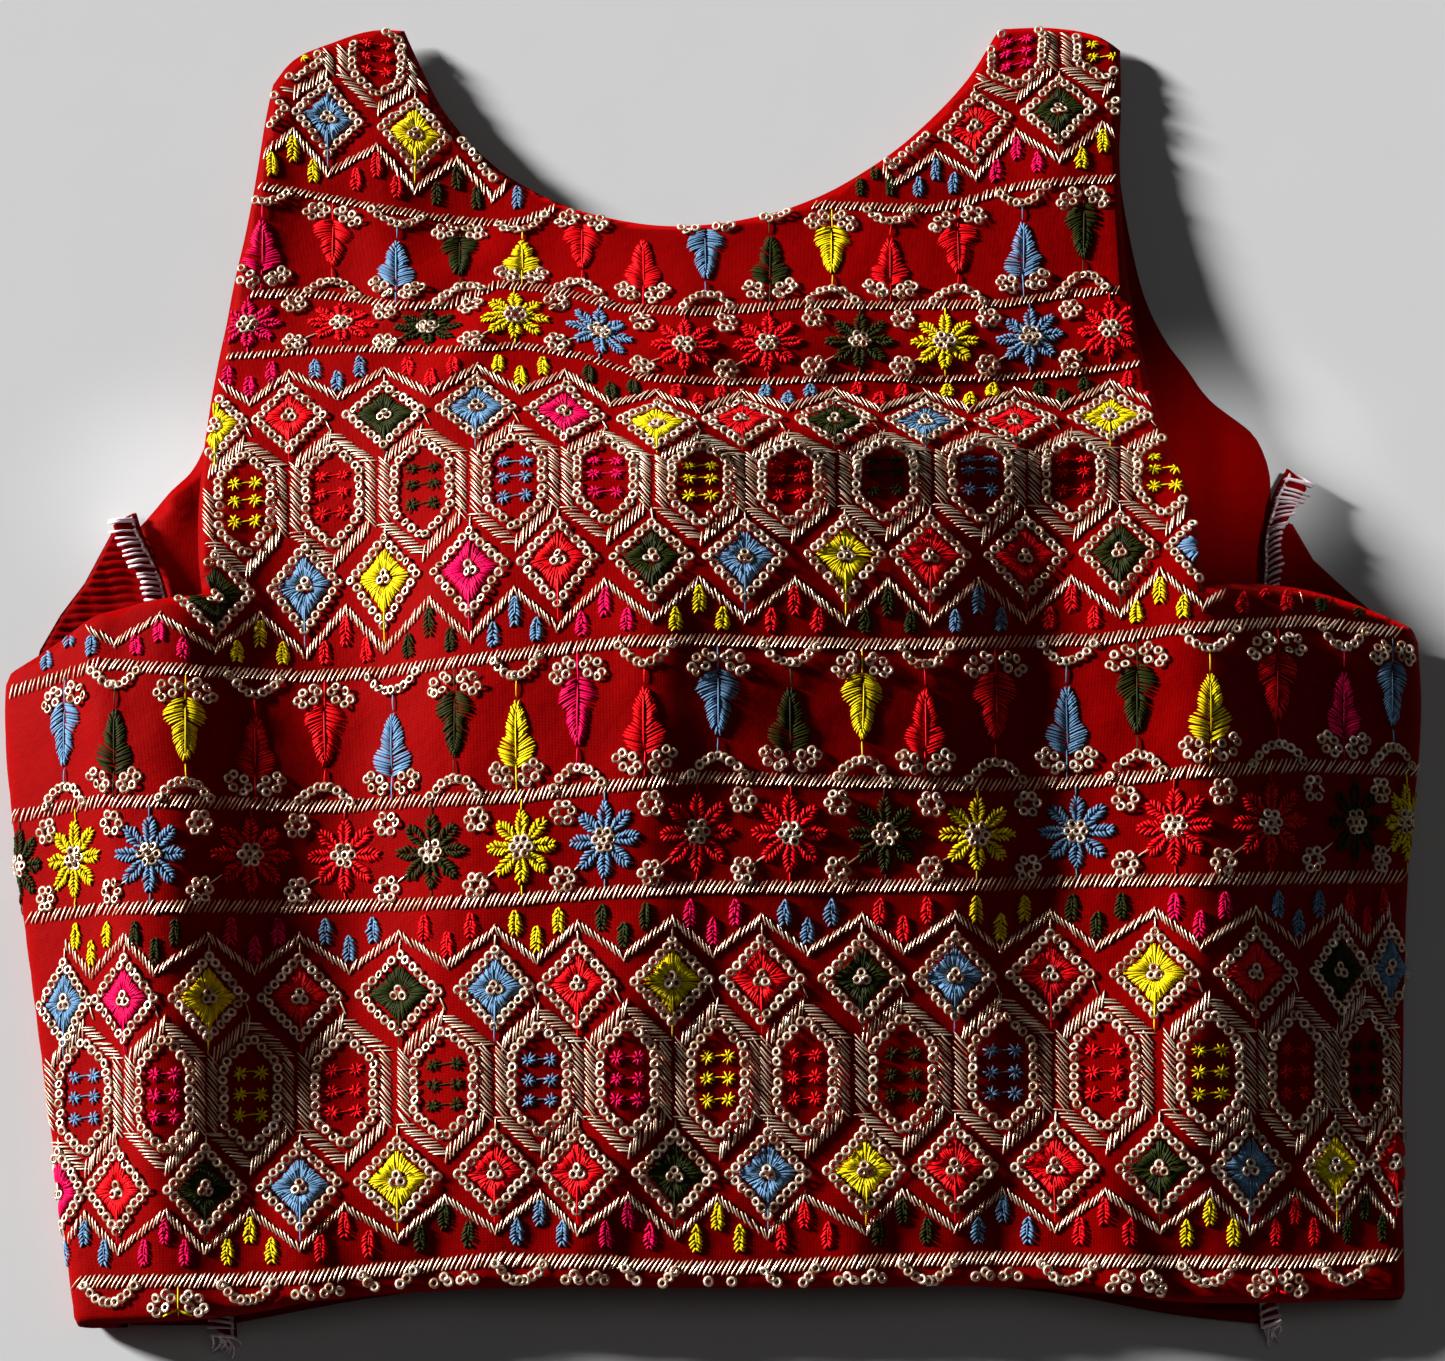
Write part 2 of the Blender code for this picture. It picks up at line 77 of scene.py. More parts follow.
SECTION_COLUMNS = ("y", "middle_z",
                   "left_x", "left_z", "left_reach", "left_radius",
                   "right_x", "right_z", "right_reach", "right_radius")
SECTIONS = np.array((
    (-208, 14.0, -152, 13.5, 29.0, 12, 142, 13.0, 56.2, 30),
    (-170, 23.0, -156, 19.5, 31.6, 12, 142, 20.0, 57.6, 36),
    (-120, 34.0, -163, 24.0, 33.6, 12, 142, 26.0, 60.4, 42),
    (-70, 43.0, -170, 27.0, 35.4, 12, 142, 29.0, 64.6, 45),
    (-20, 50.0, -177, 28.5, 35.0, 12, 142, 30.0, 71.2, 45),
    (10, 50.5, -181, 27.0, 30.2, 12, 142, 27.0, 71.2, 45),
    (40, 46.0, -181, 20.5, 30.2, 12, 142, 22.0, 71.2, 45),
    (75, 36.0, -181, 14.5, 30.2, 12, 142, 17.0, 71.2, 45),
    (105, 24.0, -181, 11.0, 30.2, 12, 142, 12.5, 71.2, 45),
    (134, 13.0, -181, 8.5, 30.2, 12, 142, 9.5, 71.2, 45),
    (165, 9.5, -181, 6.5, 30.2, 12, 142, 7.0, 71.2, 45),
    (190, 6.2, -181, 4.8, 30.2, 12, 142, 5.0, 71.2, 45),
    (210, 4.2, -181, 4.0, 30.2, 12, 142, 4.0, 71.2, 45),
), dtype=float)
SECTION = {name: SECTIONS[:, i] for i, name in enumerate(SECTION_COLUMNS)}

# Folds: a line on the plan from x0, y0 to x1, y1, and the height and width of the ridge.
# The first nineteen are the part's own, and the rest only shade the cloth here.
FOLDS = (
    (-18, 20, -17, -96, 3.4, 12),
    (-17, -84, -31, -164, 2.6, 11),
    (-4, 136, -16, 5, 1.8, 12),
    (-118, 80, -114, -192, -8.0, 28),
    (101, 66, 95, -175, -4.4, 17),
    (145, 52, 139, -62, 2.4, 10),
    (140, -50, 133, -192, 2.6, 10),
    (-108, 96, -52, 132, 2.6, 9),
    (-90, 60, -58, 114, 2.4, 9),
    (-48, 49, 146, 56, 2.8, 9),
    (-50, 71, 148, 78, -2.6, 10),
    (-16, -138, -46, -212, 2.2, 9),
    (112, -150, 120, -212, 2.0, 9),
    (-118, -160, -113, -214, 1.8, 8),
    (38, -160, 43, -214, 1.6, 8),
    (-73, -160, -78, -214, -1.8, 9),
    (82, -160, 83, -214, -1.8, 9),
    (-132, 182, -116, 138, 1.2, 9),
    (112, 182, 104, 138, 1.2, 9),
    (-159, 62, -154, -198, 5.0, 15),
    (-101, 62, -97, -190, -3.8, 20),
    (-138, 200, -147, 96, 3.6, 13),
    (-104, 182, -100, 104, 2.6, 11),
    (-72, 170, -78, 96, -1.6, 12),
)

# The front's edge, anticlockwise from the hem, as in the part.
HEM_LEFT = ((30, -206.0), (8, -205.9))
HEM_MIDDLE = ((-137, -204.5), (-114, -200.9), (-88, -198.0), (-31, -196.9), (25, -197.0),
              (94, -196.6), (133, -200.4))
HEM_RIGHT = ((22, -200.3), (54, -198.2))
HEM_END_LEFT_Y = -205.5
HEM_END_RIGHT_Y = -197.6
UNDERARM_RIGHT = ((72, 3.4), (59, 7.7), (46, 11.1), (31.5, 13.1), (15.5, 12.4))
UNDERARM_END_RIGHT_Y = -3.0
ARMHOLE_RIGHT = ((146.6, 10.2), (145.8, 29.9), (143.0, 46.7), (137.8, 63.7), (133.5, 84.3),
                 (129.9, 108.8), (128.2, 140.0), (128.2, 160.0), (129.5, 181.0), (129.9, 199.0))
SHOULDER_RIGHT = ((129.9, 199.0), (125.2, 203.0), (110.9, 206.8), (91.6, 207.0))
NECK = ((91.6, 207.0), (80.0, 187.0), (67.6, 172.0), (53.6, 158.8), (27.0, 142.6), (-9.8, 134.4),
        (-44.1, 141.2), (-72.4, 160.6), (-83.4, 174.6), (-93.0, 194.5), (-98.0, 206.3))
SHOULDER_LEFT = ((-98.0, 206.3), (-104.1, 206.6), (-121.5, 201.4), (-133.6, 195.2), (-138.8, 186.0))
ARMHOLE_LEFT = ((-138.8, 186.0), (-144.6, 133.8), (-148.8, 105.5), (-153.0, 70.7),
                (-154.2, 46.7), (-152.6, 20.4), (-150.3, 6.4))
UNDERARM_LEFT = ((3, 1.0), (15, -3.5), (31, -8.4), (43, -11.5))
UNDERARM_END_LEFT_Y = -13.0

# The seams between the back and the side panels, from the top down: x, y.
SEAM_LEFT = ((-175.5, 38.0), (-169.8, 25.0), (-165.0, 11.0), (-157.0, -60.0),
             (-147.0, -130.0), (-137.0, -204.4))
SEAM_RIGHT = ((171.4, 44.0), (171.0, 38.0), (169.2, 19.0), (166.0, -60.0),
              (162.5, -130.0), (158.5, -204.6))
BACK_HEM = ((-137.0, -204.4), (-90.0, -196.0), (-30.0, -192.0), (25.0, -191.5), (70.0, -192.8),
            (101.1, -196.0), (133.9, -202.0), (158.5, -204.6))
BACK_ARMHOLE_RIGHT = ((171.4, 44.0), (171.2, 58.6), (167.0, 69.2), (156.4, 77.4), (149.0, 87.2),
                      (136.6, 110.4), (130.8, 137.5), (128.0, 165.0), (127.4, 196.0))
BACK_SHOULDER_RIGHT = ((127.4, 196.0), (124.0, 200.5), (110.0, 204.0), (95.0, 204.0))
BACK_NECK = ((95.0, 204.0), (88.0, 183.0), (72.0, 157.0), (40.0, 131.0), (-4.0, 121.0),
             (-46.0, 131.0), (-78.0, 157.0), (-93.0, 183.0), (-102.0, 203.0))
BACK_SHOULDER_LEFT = ((-102.0, 203.0), (-106.0, 203.4), (-121.0, 198.0), (-131.0, 192.5),
                      (-136.0, 184.0))
BACK_ARMHOLE_LEFT = ((-136.0, 184.0), (-142.0, 134.0), (-149.0, 96.0), (-154.4, 69.0),
                     (-161.0, 54.6), (-167.2, 47.6), (-175.5, 38.0))
SIDE_TOP_LEFT = ((-183.0, 37.4), (-186.0, 31.0), (-190.8, 20.4), (-197.6, 10.2), (-203.2, -1.0),
                 (-204.6, -8.0), (-196.0, -11.6))
SIDE_TOP_RIGHT = ((177.8, 39.6), (183.6, 28.0), (193.4, 18.0), (202.0, 10.0), (207.0, 5.8),
                  (197.4, -1.5))
SIDE_HEM_LEFT_Y = -204.8
SIDE_HEM_RIGHT_Y = -196.5

# The allowances' foot, from the top down: x, y and lean from upright in degrees.
ALLOWANCE_LEFT = ((-176.0, 42.5, 66), (-173.9, 36.0, 56), (-168.6, 25.0, 50), (-164.0, 11.0, 48),
                  (-156.0, -60.0, 50), (-146.0, -130.0, 50), (-136.4, -200.0, 50), (-135.6, -208.6, 58))
ALLOWANCE_RIGHT = ((176.6, 57.0, 80), (171.6, 47.0, 66), (170.0, 38.0, 34), (168.2, 19.0, 26),
                   (165.0, -60.0, 28), (161.5, -130.0, 28), (157.6, -198.0, 30), (157.2, -206.0, 42))

# Lines of the embroidery's rows across the picture, in pixels: x, y.
SHOULDER_LINE_LEFT = ((259, 186), (301, 193), (342, 201), (383, 209), (424, 216), (464, 221),
                      (503, 224), (526, 220), (560, 206), (704, 209))
SHOULDER_LINE_RIGHT = ((704, 206), (760, 203), (864, 207), (931, 209), (958, 204), (985, 196),
                       (1012, 188), (1039, 184), (1074, 181), (1115, 179))
CHEST_LINE = ((250, 294), (300, 293), (350, 298), (400, 306), (450, 305), (500, 284), (560, 291),
              (620, 308), (700, 312), (800, 304), (900, 306), (1000, 304), (1060, 295), (1120, 290))
BUST_TOP_LINE = ((225, 357), (300, 352), (345, 349), (440, 350), (520, 346), (590, 358), (645, 378),
                 (737, 382), (800, 380), (860, 377), (925, 380), (1050, 375), (1140, 364))
UPPER_DIAMOND_LINE = ((210, 427), (293, 416), (387, 415), (474, 406), (562, 412), (655, 425),
                      (748, 418), (831, 420), (922, 422), (1020, 422), (1115, 416))
HEXAGON_LINE = ((242, 502), (334, 493), (423, 484), (513, 477), (605, 473), (698, 479), (789, 478),
                (888, 471), (981, 470), (1072, 472), (1172, 468))
LOWER_DIAMOND_LINE = ((214, 598), (300, 587), (384, 578), (466, 570), (557, 558), (652, 557),
                      (745, 557), (839, 554), (932, 557), (1025, 557), (1122, 551), (1196, 546))
BUST_LINE = ((10, 693), (100, 664), (200, 671), (300, 677), (380, 673), (450, 663), (520, 654),
             (620, 642), (700, 640), (800, 643), (900, 645), (1000, 642), (1100, 640), (1180, 629),
             (1300, 621), (1400, 633))
UNDERBUST_LINE = ((12, 817), (100, 801), (200, 802), (330, 807), (420, 801), (520, 796), (600, 787),
                  (700, 777), (800, 780), (900, 783), (1000, 785), (1100, 781), (1200, 771),
                  (1300, 765), (1420, 770))
RIB_LINE = ((22, 919), (100, 909), (200, 906), (300, 907), (400, 905), (500, 900), (600, 893),
            (700, 887), (800, 887), (900, 886), (1000, 884), (1100, 881), (1200, 880), (1300, 878),
            (1410, 876))
WAIST_LINE = ((75, 1282), (200, 1281), (300, 1278), (400, 1268), (500, 1259), (600, 1262),
              (700, 1268), (800, 1265), (900, 1260), (1000, 1258), (1100, 1261), (1200, 1262),
              (1300, 1262), (1400, 1255))

# Border stitches along each row line: the line, their height in pixels.
BORDERS = (
    (SHOULDER_LINE_LEFT[:-1], 9), (SHOULDER_LINE_RIGHT[1:], 10), (CHEST_LINE, 10), (BUST_TOP_LINE, 8),
    (BUST_LINE, 14), (UNDERBUST_LINE, 15), (RIB_LINE, 15), (WAIST_LINE, 16),
)

THREADS = {"y": "yellow", "b": "blue", "g": "green", "r": "red", "p": "pink"}


def motifs(letters, *xs):
    """Columns of motifs, each its x in pixels and its thread, from the colours' first letters."""
    return [(x, THREADS[letter]) for x, letter in zip(xs, letters)]


# Leaves, whose tips point up and down by turns, then flowers
CHEST_LEAVES = motifs("prbgyrrbgyrrbg", 262, 333, 397, 460, 522, 582, 643, 706, 770, 832, 890, 958, 1023,
    1083)
BUST_LEAVES = motifs("bgyrrbgyprbgyrrbgyrpb", 65, 115, 185, 255, 325, 393, 455, 517, 578, 645, 718, 790,
    862, 925, 995, 1067, 1137, 1210, 1277, 1343, 1392)
HEM_LEAVES = motifs("gyrrbgyprbgyrrbgyrp", 110, 178, 248, 318, 388, 455, 520, 585, 650, 720, 790, 860,
    928, 997, 1067, 1137, 1208, 1277, 1345)
CHEST_FLOWERS = motifs("prgybrrgybr", 248, 342, 428, 515, 600, 685, 768, 860, 945, 1030, 1110)
BUST_FLOWERS = motifs("gybrrgybrrgybrrgy", 20, 75, 150, 250, 345, 432, 522, 605, 697, 790, 885, 977,
    1077, 1175, 1270, 1355, 1405)

# Hexagon rows: diamonds stand between the hexagons, above and below them, and drops hang over each.
SHOULDER_LEFT_HEXAGONS = motifs("yrgb", 293, 377, 457, 538)
SHOULDER_LEFT_LOWER_DIAMONDS = motifs("gbyr", 256, 328, 415, 493)
SHOULDER_RIGHT_HEXAGONS = motifs("gbpy", 875, 936, 1017, 1103)
SHOULDER_RIGHT_LOWER_DIAMONDS = motifs("rrgb", 893, 975, 1059, 1143)
BUST_UPPER_DIAMONDS = motifs("yrgbpyrgbry", 215, 290, 385, 477, 565, 657, 742, 835, 925, 1015, 1110)
BUST_HEXAGONS = motifs("pyrgbpyrgbry", 160, 245, 333, 423, 515, 606, 700, 790, 885, 980, 1073, 1165)
BUST_LOWER_DIAMONDS = motifs("gbyprgbyrrgb", 215, 305, 385, 470, 558, 652, 745, 845, 930, 1025, 1120,
    1203)
BUST_UPPER_DROPS = motifs("pbrygrbrygr", 250, 338, 431, 521, 611, 699, 788, 880, 970, 1062, 1150)
BUST_LOWER_DROPS = motifs("bpyrgbpyrgbryrg", 70, 160, 260, 346, 430, 515, 605, 699, 795, 888, 978, 1072,
    1160, 1265, 1340)
WAIST_UPPER_DIAMONDS = motifs("bpyrgbryrgbryrgb", 65, 125, 208, 300, 400, 495, 578, 672, 762, 862, 955,
    1050, 1155, 1255, 1340, 1390)
WAIST_HEXAGONS = motifs("bpyrgbpyrgbryrg", 85, 165, 250, 345, 445, 540, 628, 718, 805, 903, 1003, 1105,
    1210, 1295, 1365)
WAIST_LOWER_DIAMONDS = motifs("prgbyrrgbyrrgbyr", 60, 118, 205, 300, 398, 495, 578, 675, 768, 865, 955,
    1055, 1160, 1250, 1335, 1395)
WAIST_UPPER_DROPS = motifs("ygpbrygpbrygpbr", 92, 155, 254, 350, 448, 537, 624, 713, 808, 904, 1000,
    1097, 1200, 1298, 1366)

# Hexagon row: its height, and its parts' places down it, in its own pixels
ROW_HEIGHT = 381.0
UPPER_PEAK, UPPER_VALLEY = 31.0, 66.0
UPPER_DROP_MIDDLE, UPPER_DROP_OUTER = 46.5, 28.0
UPPER_DIAMOND = 93.0
HEXAGON_TOP, HEXAGON_SHOULDER, HEXAGON_MIDDLE = 118.0, 154.0, 192.0
HEXAGON_FLANK, HEXAGON_BOTTOM = 229.0, 267.0
LOWER_DIAMOND = 288.0
LOWER_PEAK, LOWER_VALLEY = 312.0, 350.0
LOWER_DROP_MIDDLE, LOWER_DROP_OUTER = 333.0, 354.0
HEXAGON_HALF = 40.0
# The hexagon's inner line of sequins, in from its corners, and the step between them
LINING_SIDE, LINING_TOP, LINING_SHOULDER, LINING_BOTTOM, LINING_STEP = 11.5, 15.0, 8.0, 18.0, 10.7
# Metal stitches: thickness of each bar and steps along it in pixels, and how they slant
HEXAGON_BAR, ZIGZAG_BAR = 14.0, 8.4
BAR_STEP, BORDER_STEP = 4.9, 4.8
STITCH_SLANT, ZIGZAG_SLANT, BORDER_SLANT = 1.2, 1.5, 0.6
# Diamonds, drops and stars, in the row's pixels
DIAMOND_RAYS, DIAMOND_HEART, DIAMOND_HALF, DIAMOND_RISE, DIAMOND_HOLLOW = 72, 7.0, 31.0, 33.0, 0.06
DIAMOND_FRAME = ((0, -41), (38, 0), (0, 41), (-38, 0))
DROP_SPREAD = 23.5
STAR_ROWS, STAR_COLUMNS, STAR_RADIUS = (-21.6, 0.0, 21.6), (-11.5, 11.5), 8.2
# Leaf, with its tip up, and flower, in the row's pixels
LEAF_PITCH, FLOWER_PITCH, HEXAGON_PITCH = 67.0, 92.0, 95.0
LEAF_HEIGHT, LEAF_FLIP, FAN_FLIP = 137, 139.0, 138.0
LEAF_YS = np.linspace(44.0, 103.0, 22)
LEAF_HALVES = np.interp(LEAF_YS, (43, 50, 60, 70, 76, 82, 88, 95, 100, 105),
                        (1.5, 6.5, 10.5, 13, 11.5, 18, 21.5, 20.5, 18, 13))
LEAF_SLANT = np.linspace(11.0, 7.0, len(LEAF_YS))
LEAF_VEIN = ((0, 43, 0, 106), (0, 22, 0, 43), (0, 104, 0, 136))
SCALLOP_HALF, SCALLOP_DEPTH, SCALLOP_TOP = 25.0, 17.0, 21.0
FAN_X, FAN_Y, FAN_WIDTH, FAN_HEIGHT, FAN_TILT = 16.0, 116.0, 9.5, 7.5, 4.5
FLOWER_HEIGHT, FLOWER_MIDDLE, PETAL_DEPTH = 102, 51.0, 6.5
PETAL_REACH = np.linspace(16.0, 37.0, 7)
PETAL_HALVES = np.interp(PETAL_REACH, (13, 19, 26, 32, 36), (3.4, 6.2, 8.0, 7.0, 3.2))
FLOWER_STEMS = ((0, 15, 0, 2), (0, 87, 0, 100))
HEART_RADIUS, FLORET_RADIUS, FLORET_YS = 8.2, 8.8, (21.0, 86.0)
# Stitches: width and height over the cloth in millimetres.
STITCHES = {
    "border": (0.56, 0.40), "zigzag": (0.52, 0.45), "hexagon": (0.54, 0.45), "link": (0.50, 0.30),
    "tick": (0.55, 0.30), "blade": (0.78, 0.55), "vein": (0.55, 0.70), "petal": (0.85, 0.50),
    "ray": (0.80, 0.60), "tail": (0.55, 0.90), "feather": (0.80, 0.45), "spine": (0.60, 0.45),
    "star": (0.68, 0.50), "pair": (0.40, 0.30),
}
# Width shares of a stitch at its start, middle and end
TAPER, TAPERS = (0.8, 1.0, 0.8), {"ray": (0.5, 0.9, 0.9), "star": (1.0, 1.0, 0.7)}
# How far stitch ends and sequins wander in pixels, and how much a stitch's width varies
STITCH_WANDER, SEQUIN_WANDER, WIDTH_SPREAD = 0.6, 0.5, 0.10
# Places along a stitch and its height there, and how far stitches and sequins stay from the cloth's edge
STITCH_STATIONS, STITCH_ARCH = (0.0, 0.14, 0.5, 0.86, 1.0), (0.0, 0.75, 1.0, 0.75, 0.0)
STITCH_SIDES, STITCH_MARGIN, SEQUIN_MARGIN = 3, 0.9, 1.4
# A sequin: its sides, how far it tips, the heights of its ridge and rim, its least lift and its spread
SEQUIN_SIDES, SEQUIN_TILT, SEQUIN_RIDGE, SEQUIN_RIM = 10, 0.20, 0.34, 0.02
SEQUIN_LIFT, LIFT_SPREAD = 0.55, 0.3
# Where the shoulder foreshortens the row: places down it, and shares of its height in the picture
SHOULDER_WARP = ((0, -0.10), (118, 0.05), (154, 0.14), (192, 0.25), (229, 0.37), (267, 0.51),
                 (288, 0.60), (312, 0.70), (333, 0.80), (350, 0.875), (381, 1.0))


def along(stations, values, at):
    """Value of a table's column at any station: a cubic whose slopes follow the neighbours."""
    slopes = np.gradient(values, stations)
    row = np.clip(np.searchsorted(stations, at) - 1, 0, len(stations) - 2)
    step = stations[row + 1] - stations[row]
    t = np.clip((at - stations[row]) / step, 0.0, 1.0)
    return (values[row] * (1 + 2 * t) * (1 - t) ** 2
            + step * slopes[row] * t * (1 - t) ** 2
            + values[row + 1] * t * t * (3 - 2 * t)
            + step * slopes[row + 1] * t * t * (t - 1))


def section(name, y):
    """One column of the sections table at plan y."""
    return along(SECTION["y"], SECTION[name], y)


def smooth_step(t):
    """Rise from 0 to 1 with level ends."""
    t = np.clip(t, 0.0, 1.0)
    return t * t * (3 - 2 * t)


def roll_sizes(side, y):
    """Turn angle at the crest, then lengths of the crest arc, the slope and the floor arc."""
    radius = section(side + "_radius", y)
    across = section(side + "_reach", y) - EDGE_RADIUS
    drop = section(side + "_z", y) - radius - EDGE_RADIUS
    centres = np.hypot(across, drop)
    turn = np.arctan2(drop, across) + np.arcsin((radius - EDGE_RADIUS) / centres)
    slope = np.sqrt(centres ** 2 - (radius - EDGE_RADIUS) ** 2)
    return turn, radius * turn, slope, EDGE_RADIUS * (np.pi - turn)


def roll_length(side, y):
    """Cloth from the crest to where the side lies flat under the blouse."""
    turn, crest_arc, slope, floor_arc = roll_sizes(side, y)
    return crest_arc + slope + floor_arc


def roll(side, run, y):
    """Distance out and height after a run of cloth past a crest: arc, slope, arc, flange."""
    turn, crest_arc, slope, floor_arc = roll_sizes(side, y)
    radius = section(side + "_radius", y)
    first = np.clip(run, 0, crest_arc) / radius
    second = np.clip(run - crest_arc, 0, slope)
    third = np.clip(run - crest_arc - slope, 0, floor_arc) / EDGE_RADIUS
    under = np.maximum(run - crest_arc - slope - floor_arc, 0)
    out = (radius * np.sin(first) + second * np.cos(turn)
           + EDGE_RADIUS * (np.sin(turn + third) - np.sin(turn)) - under)
    height = (section(side + "_z", y) - radius * (1 - np.cos(first)) - second * np.sin(turn)
              - EDGE_RADIUS * (np.cos(turn) - np.cos(turn + third)))
    return out, height


def fold_height(x, y):
    """Sum of the folds at a place on the plan: a bell across each line, fading at its ends."""
    total = np.zeros_like(x)
    for x0, y0, x1, y1, height, width in FOLDS:
        length = math.hypot(x1 - x0, y1 - y0)
        ux, uy = (x1 - x0) / length, (y1 - y0) / length
        t = ((x - x0) * ux + (y - y0) * uy) / length
        offset = (x - x0) * uy - (y - y0) * ux
        ends = smooth_step(t / FOLD_END) * smooth_step((1 - t) / FOLD_END)
        total += height * ends * np.exp(-(offset / width) ** 2)
    return total


def pucker(x, y):
    """Small uneven dimples that the embroidery draws in the cloth: crossed, bent sine waves."""
    long_wave = np.sin(x / 9.1 + 1.7 * np.sin(y / 27.0)) * np.sin(y / 14.3 + 1.3 * np.sin(x / 33.0))
    short_wave = np.sin(x / 4.3 + 2.1 * np.sin(y / 11.0)) * np.sin(y / 5.7 + 1.1 * np.sin(x / 15.0))
    return PUCKER_LONG * long_wave + PUCKER_SHORT * short_wave


def front_place(u, y):
    """The front's outer face: u is x between the crests and the run of cloth past them."""
    left_x, right_x = section("left_x", y), section("right_x", y)
    left_z, right_z = section("left_z", y), section("right_z", y)
    across = np.clip((2 * u - left_x - right_x) / (right_x - left_x), -1, 1)
    dome = np.cos(0.5 * np.pi * across) ** 2
    edge = left_z + (right_z - left_z) * (across + 1) / 2
    middle = edge * (1 - dome) + section("middle_z", y) * dome
    left_run = np.maximum(left_x - u, 0)
    right_run = np.maximum(u - right_x, 0)
    left_out, left_height = roll("left", left_run, y)
    right_out, right_height = roll("right", right_run, y)
    x = np.where(left_run > 0, left_x - left_out, np.where(right_run > 0, right_x + right_out, u))
    z = np.where(left_run > 0, left_height, np.where(right_run > 0, right_height, middle))
    fade = (1 - smooth_step(left_run / (FOLD_REACH * roll_length("left", y)))) * (
        1 - smooth_step(right_run / (FOLD_REACH * roll_length("right", y))))
    return np.stack((x, y, z + fade * (fold_height(x, y) + pucker(u, y))), axis=-1)


def normal_of(u, y):
    """The front's outward normal: the cross product of its two slopes, by small differences."""
    gap = 0.4
    across = front_place(u + gap, y) - front_place(u - gap, y)
    upward = front_place(u, y + gap) - front_place(u, y - gap)
    normal = np.cross(across, upward)
    return normal / np.linalg.norm(normal, axis=-1, keepdims=True)


def to_frame(points):
    """Plan points in millimetres, as points of the part's frame in metres."""
    return (points - np.array((CENTRE_X, CENTRE_Y, 0.0))) * MM


def to_picture(points):
    """Picture pixels of plan points, through the camera's perspective."""
    offset = points - TARGET
    sine, cosine = math.sin(TILT), math.cos(TILT)
    depth = DISTANCE + offset[..., 1] * sine - offset[..., 2] * cosine
    scale = DISTANCE / depth / PIXEL
    return (PICTURE_WIDTH / 2 + offset[..., 0] * scale,
            PICTURE_HEIGHT / 2 - (offset[..., 1] * cosine + offset[..., 2] * sine) * scale)


def past(side, rows):
    """Edge rows given as a run past a crest, as chart points."""
    sign = -1 if side == "left" else 1
    return [(float(section(side + "_x", y)) + sign * run, y) for run, y in rows]


def flange_end(side, y):
    """The last chart point round a side at plan y, as a list of one."""
    return past(side, ((float(roll_length(side, y)) + FLANGE, y),))


def rounded(points, step):
    """Points every step along a smooth curve through the given ones, without its last point."""
    points = np.asarray(points, dtype=float)
    chord = np.concatenate(((0,), np.cumsum(np.hypot(*np.diff(points, axis=0).T))))
    count = max(1, round(chord[-1] / step))
    at = np.linspace(0, chord[-1], count + 1)[:-1]
    return list(zip(along(chord, points[:, 0], at), along(chord, points[:, 1], at)))


def side_edge(side, y_from, y_to, step):
    """The front's hidden edge under one side, on the flange, without its last point."""
    sign = -1 if side == "left" else 1
    count = round(abs(y_to - y_from) / step)
    y = np.linspace(y_from, y_to, count + 1)[:-1]
    u = section(side + "_x", y) + sign * (roll_length(side, y) + FLANGE)
    return list(zip(u, y))


@functools.lru_cache(maxsize=None)
def front_outline(step):
    """The front's whole edge on its chart, anticlockwise, with a point every step."""
    hem = (flange_end("left", HEM_END_LEFT_Y) + past("left", HEM_LEFT) + list(HEM_MIDDLE)
           + past("right", HEM_RIGHT) + flange_end("right", HEM_END_RIGHT_Y))
    under_right = (flange_end("right", UNDERARM_END_RIGHT_Y) + past("right", UNDERARM_RIGHT)
                   + [ARMHOLE_RIGHT[0]])
    under_left = ([ARMHOLE_LEFT[-1]] + past("left", UNDERARM_LEFT)
                  + flange_end("left", UNDERARM_END_LEFT_Y))
    outline = rounded(hem, step)
    outline += side_edge("right", HEM_END_RIGHT_Y, UNDERARM_END_RIGHT_Y, step)
    for stretch in (under_right, ARMHOLE_RIGHT, SHOULDER_RIGHT, NECK, SHOULDER_LEFT, ARMHOLE_LEFT,
                    under_left):
        outline += rounded(stretch, step)
    outline += side_edge("left", UNDERARM_END_LEFT_Y, HEM_END_LEFT_Y, step)
    return np.array(outline)


@functools.lru_cache(maxsize=None)
def back_outline(step):
    """The back's edge on the plan, anticlockwise."""
    outline = rounded(BACK_HEM, step) + rounded(SEAM_RIGHT[::-1], step)
    for stretch in (BACK_ARMHOLE_RIGHT, BACK_SHOULDER_RIGHT, BACK_NECK, BACK_SHOULDER_LEFT,
                    BACK_ARMHOLE_LEFT, SEAM_LEFT):
        outline += rounded(stretch, step)
    return np.array(outline)


def against(outline, points):
    """Whether each point lies inside a closed outline, its nearest edge point and that distance."""
    nexts = np.roll(outline, -1, axis=0)
    span = nexts - outline
    square = (span ** 2).sum(1)
    rise = np.where(span[:, 1] == 0, 1.0, span[:, 1])
    inside, nearest, gaps = [], [], []
    for some in np.array_split(points, max(1, len(points) // 2000)):
        away = some[:, None, :]
        t = np.clip(((away - outline) * span).sum(2) / square, 0, 1)
        feet = outline + t[..., None] * span
        gap = np.linalg.norm(away - feet, axis=2)
        best = gap.argmin(1)
        crosses = (outline[:, 1] > away[..., 1]) != (nexts[:, 1] > away[..., 1])
        at = outline[:, 0] + (away[..., 1] - outline[:, 1]) * span[:, 0] / rise
        inside.append((crosses & (away[..., 0] < at)).sum(1) % 2 == 1)
        nearest.append(feet[np.arange(len(some)), best])
        gaps.append(gap[np.arange(len(some)), best])
    return np.concatenate(inside), np.concatenate(nearest), np.concatenate(gaps)


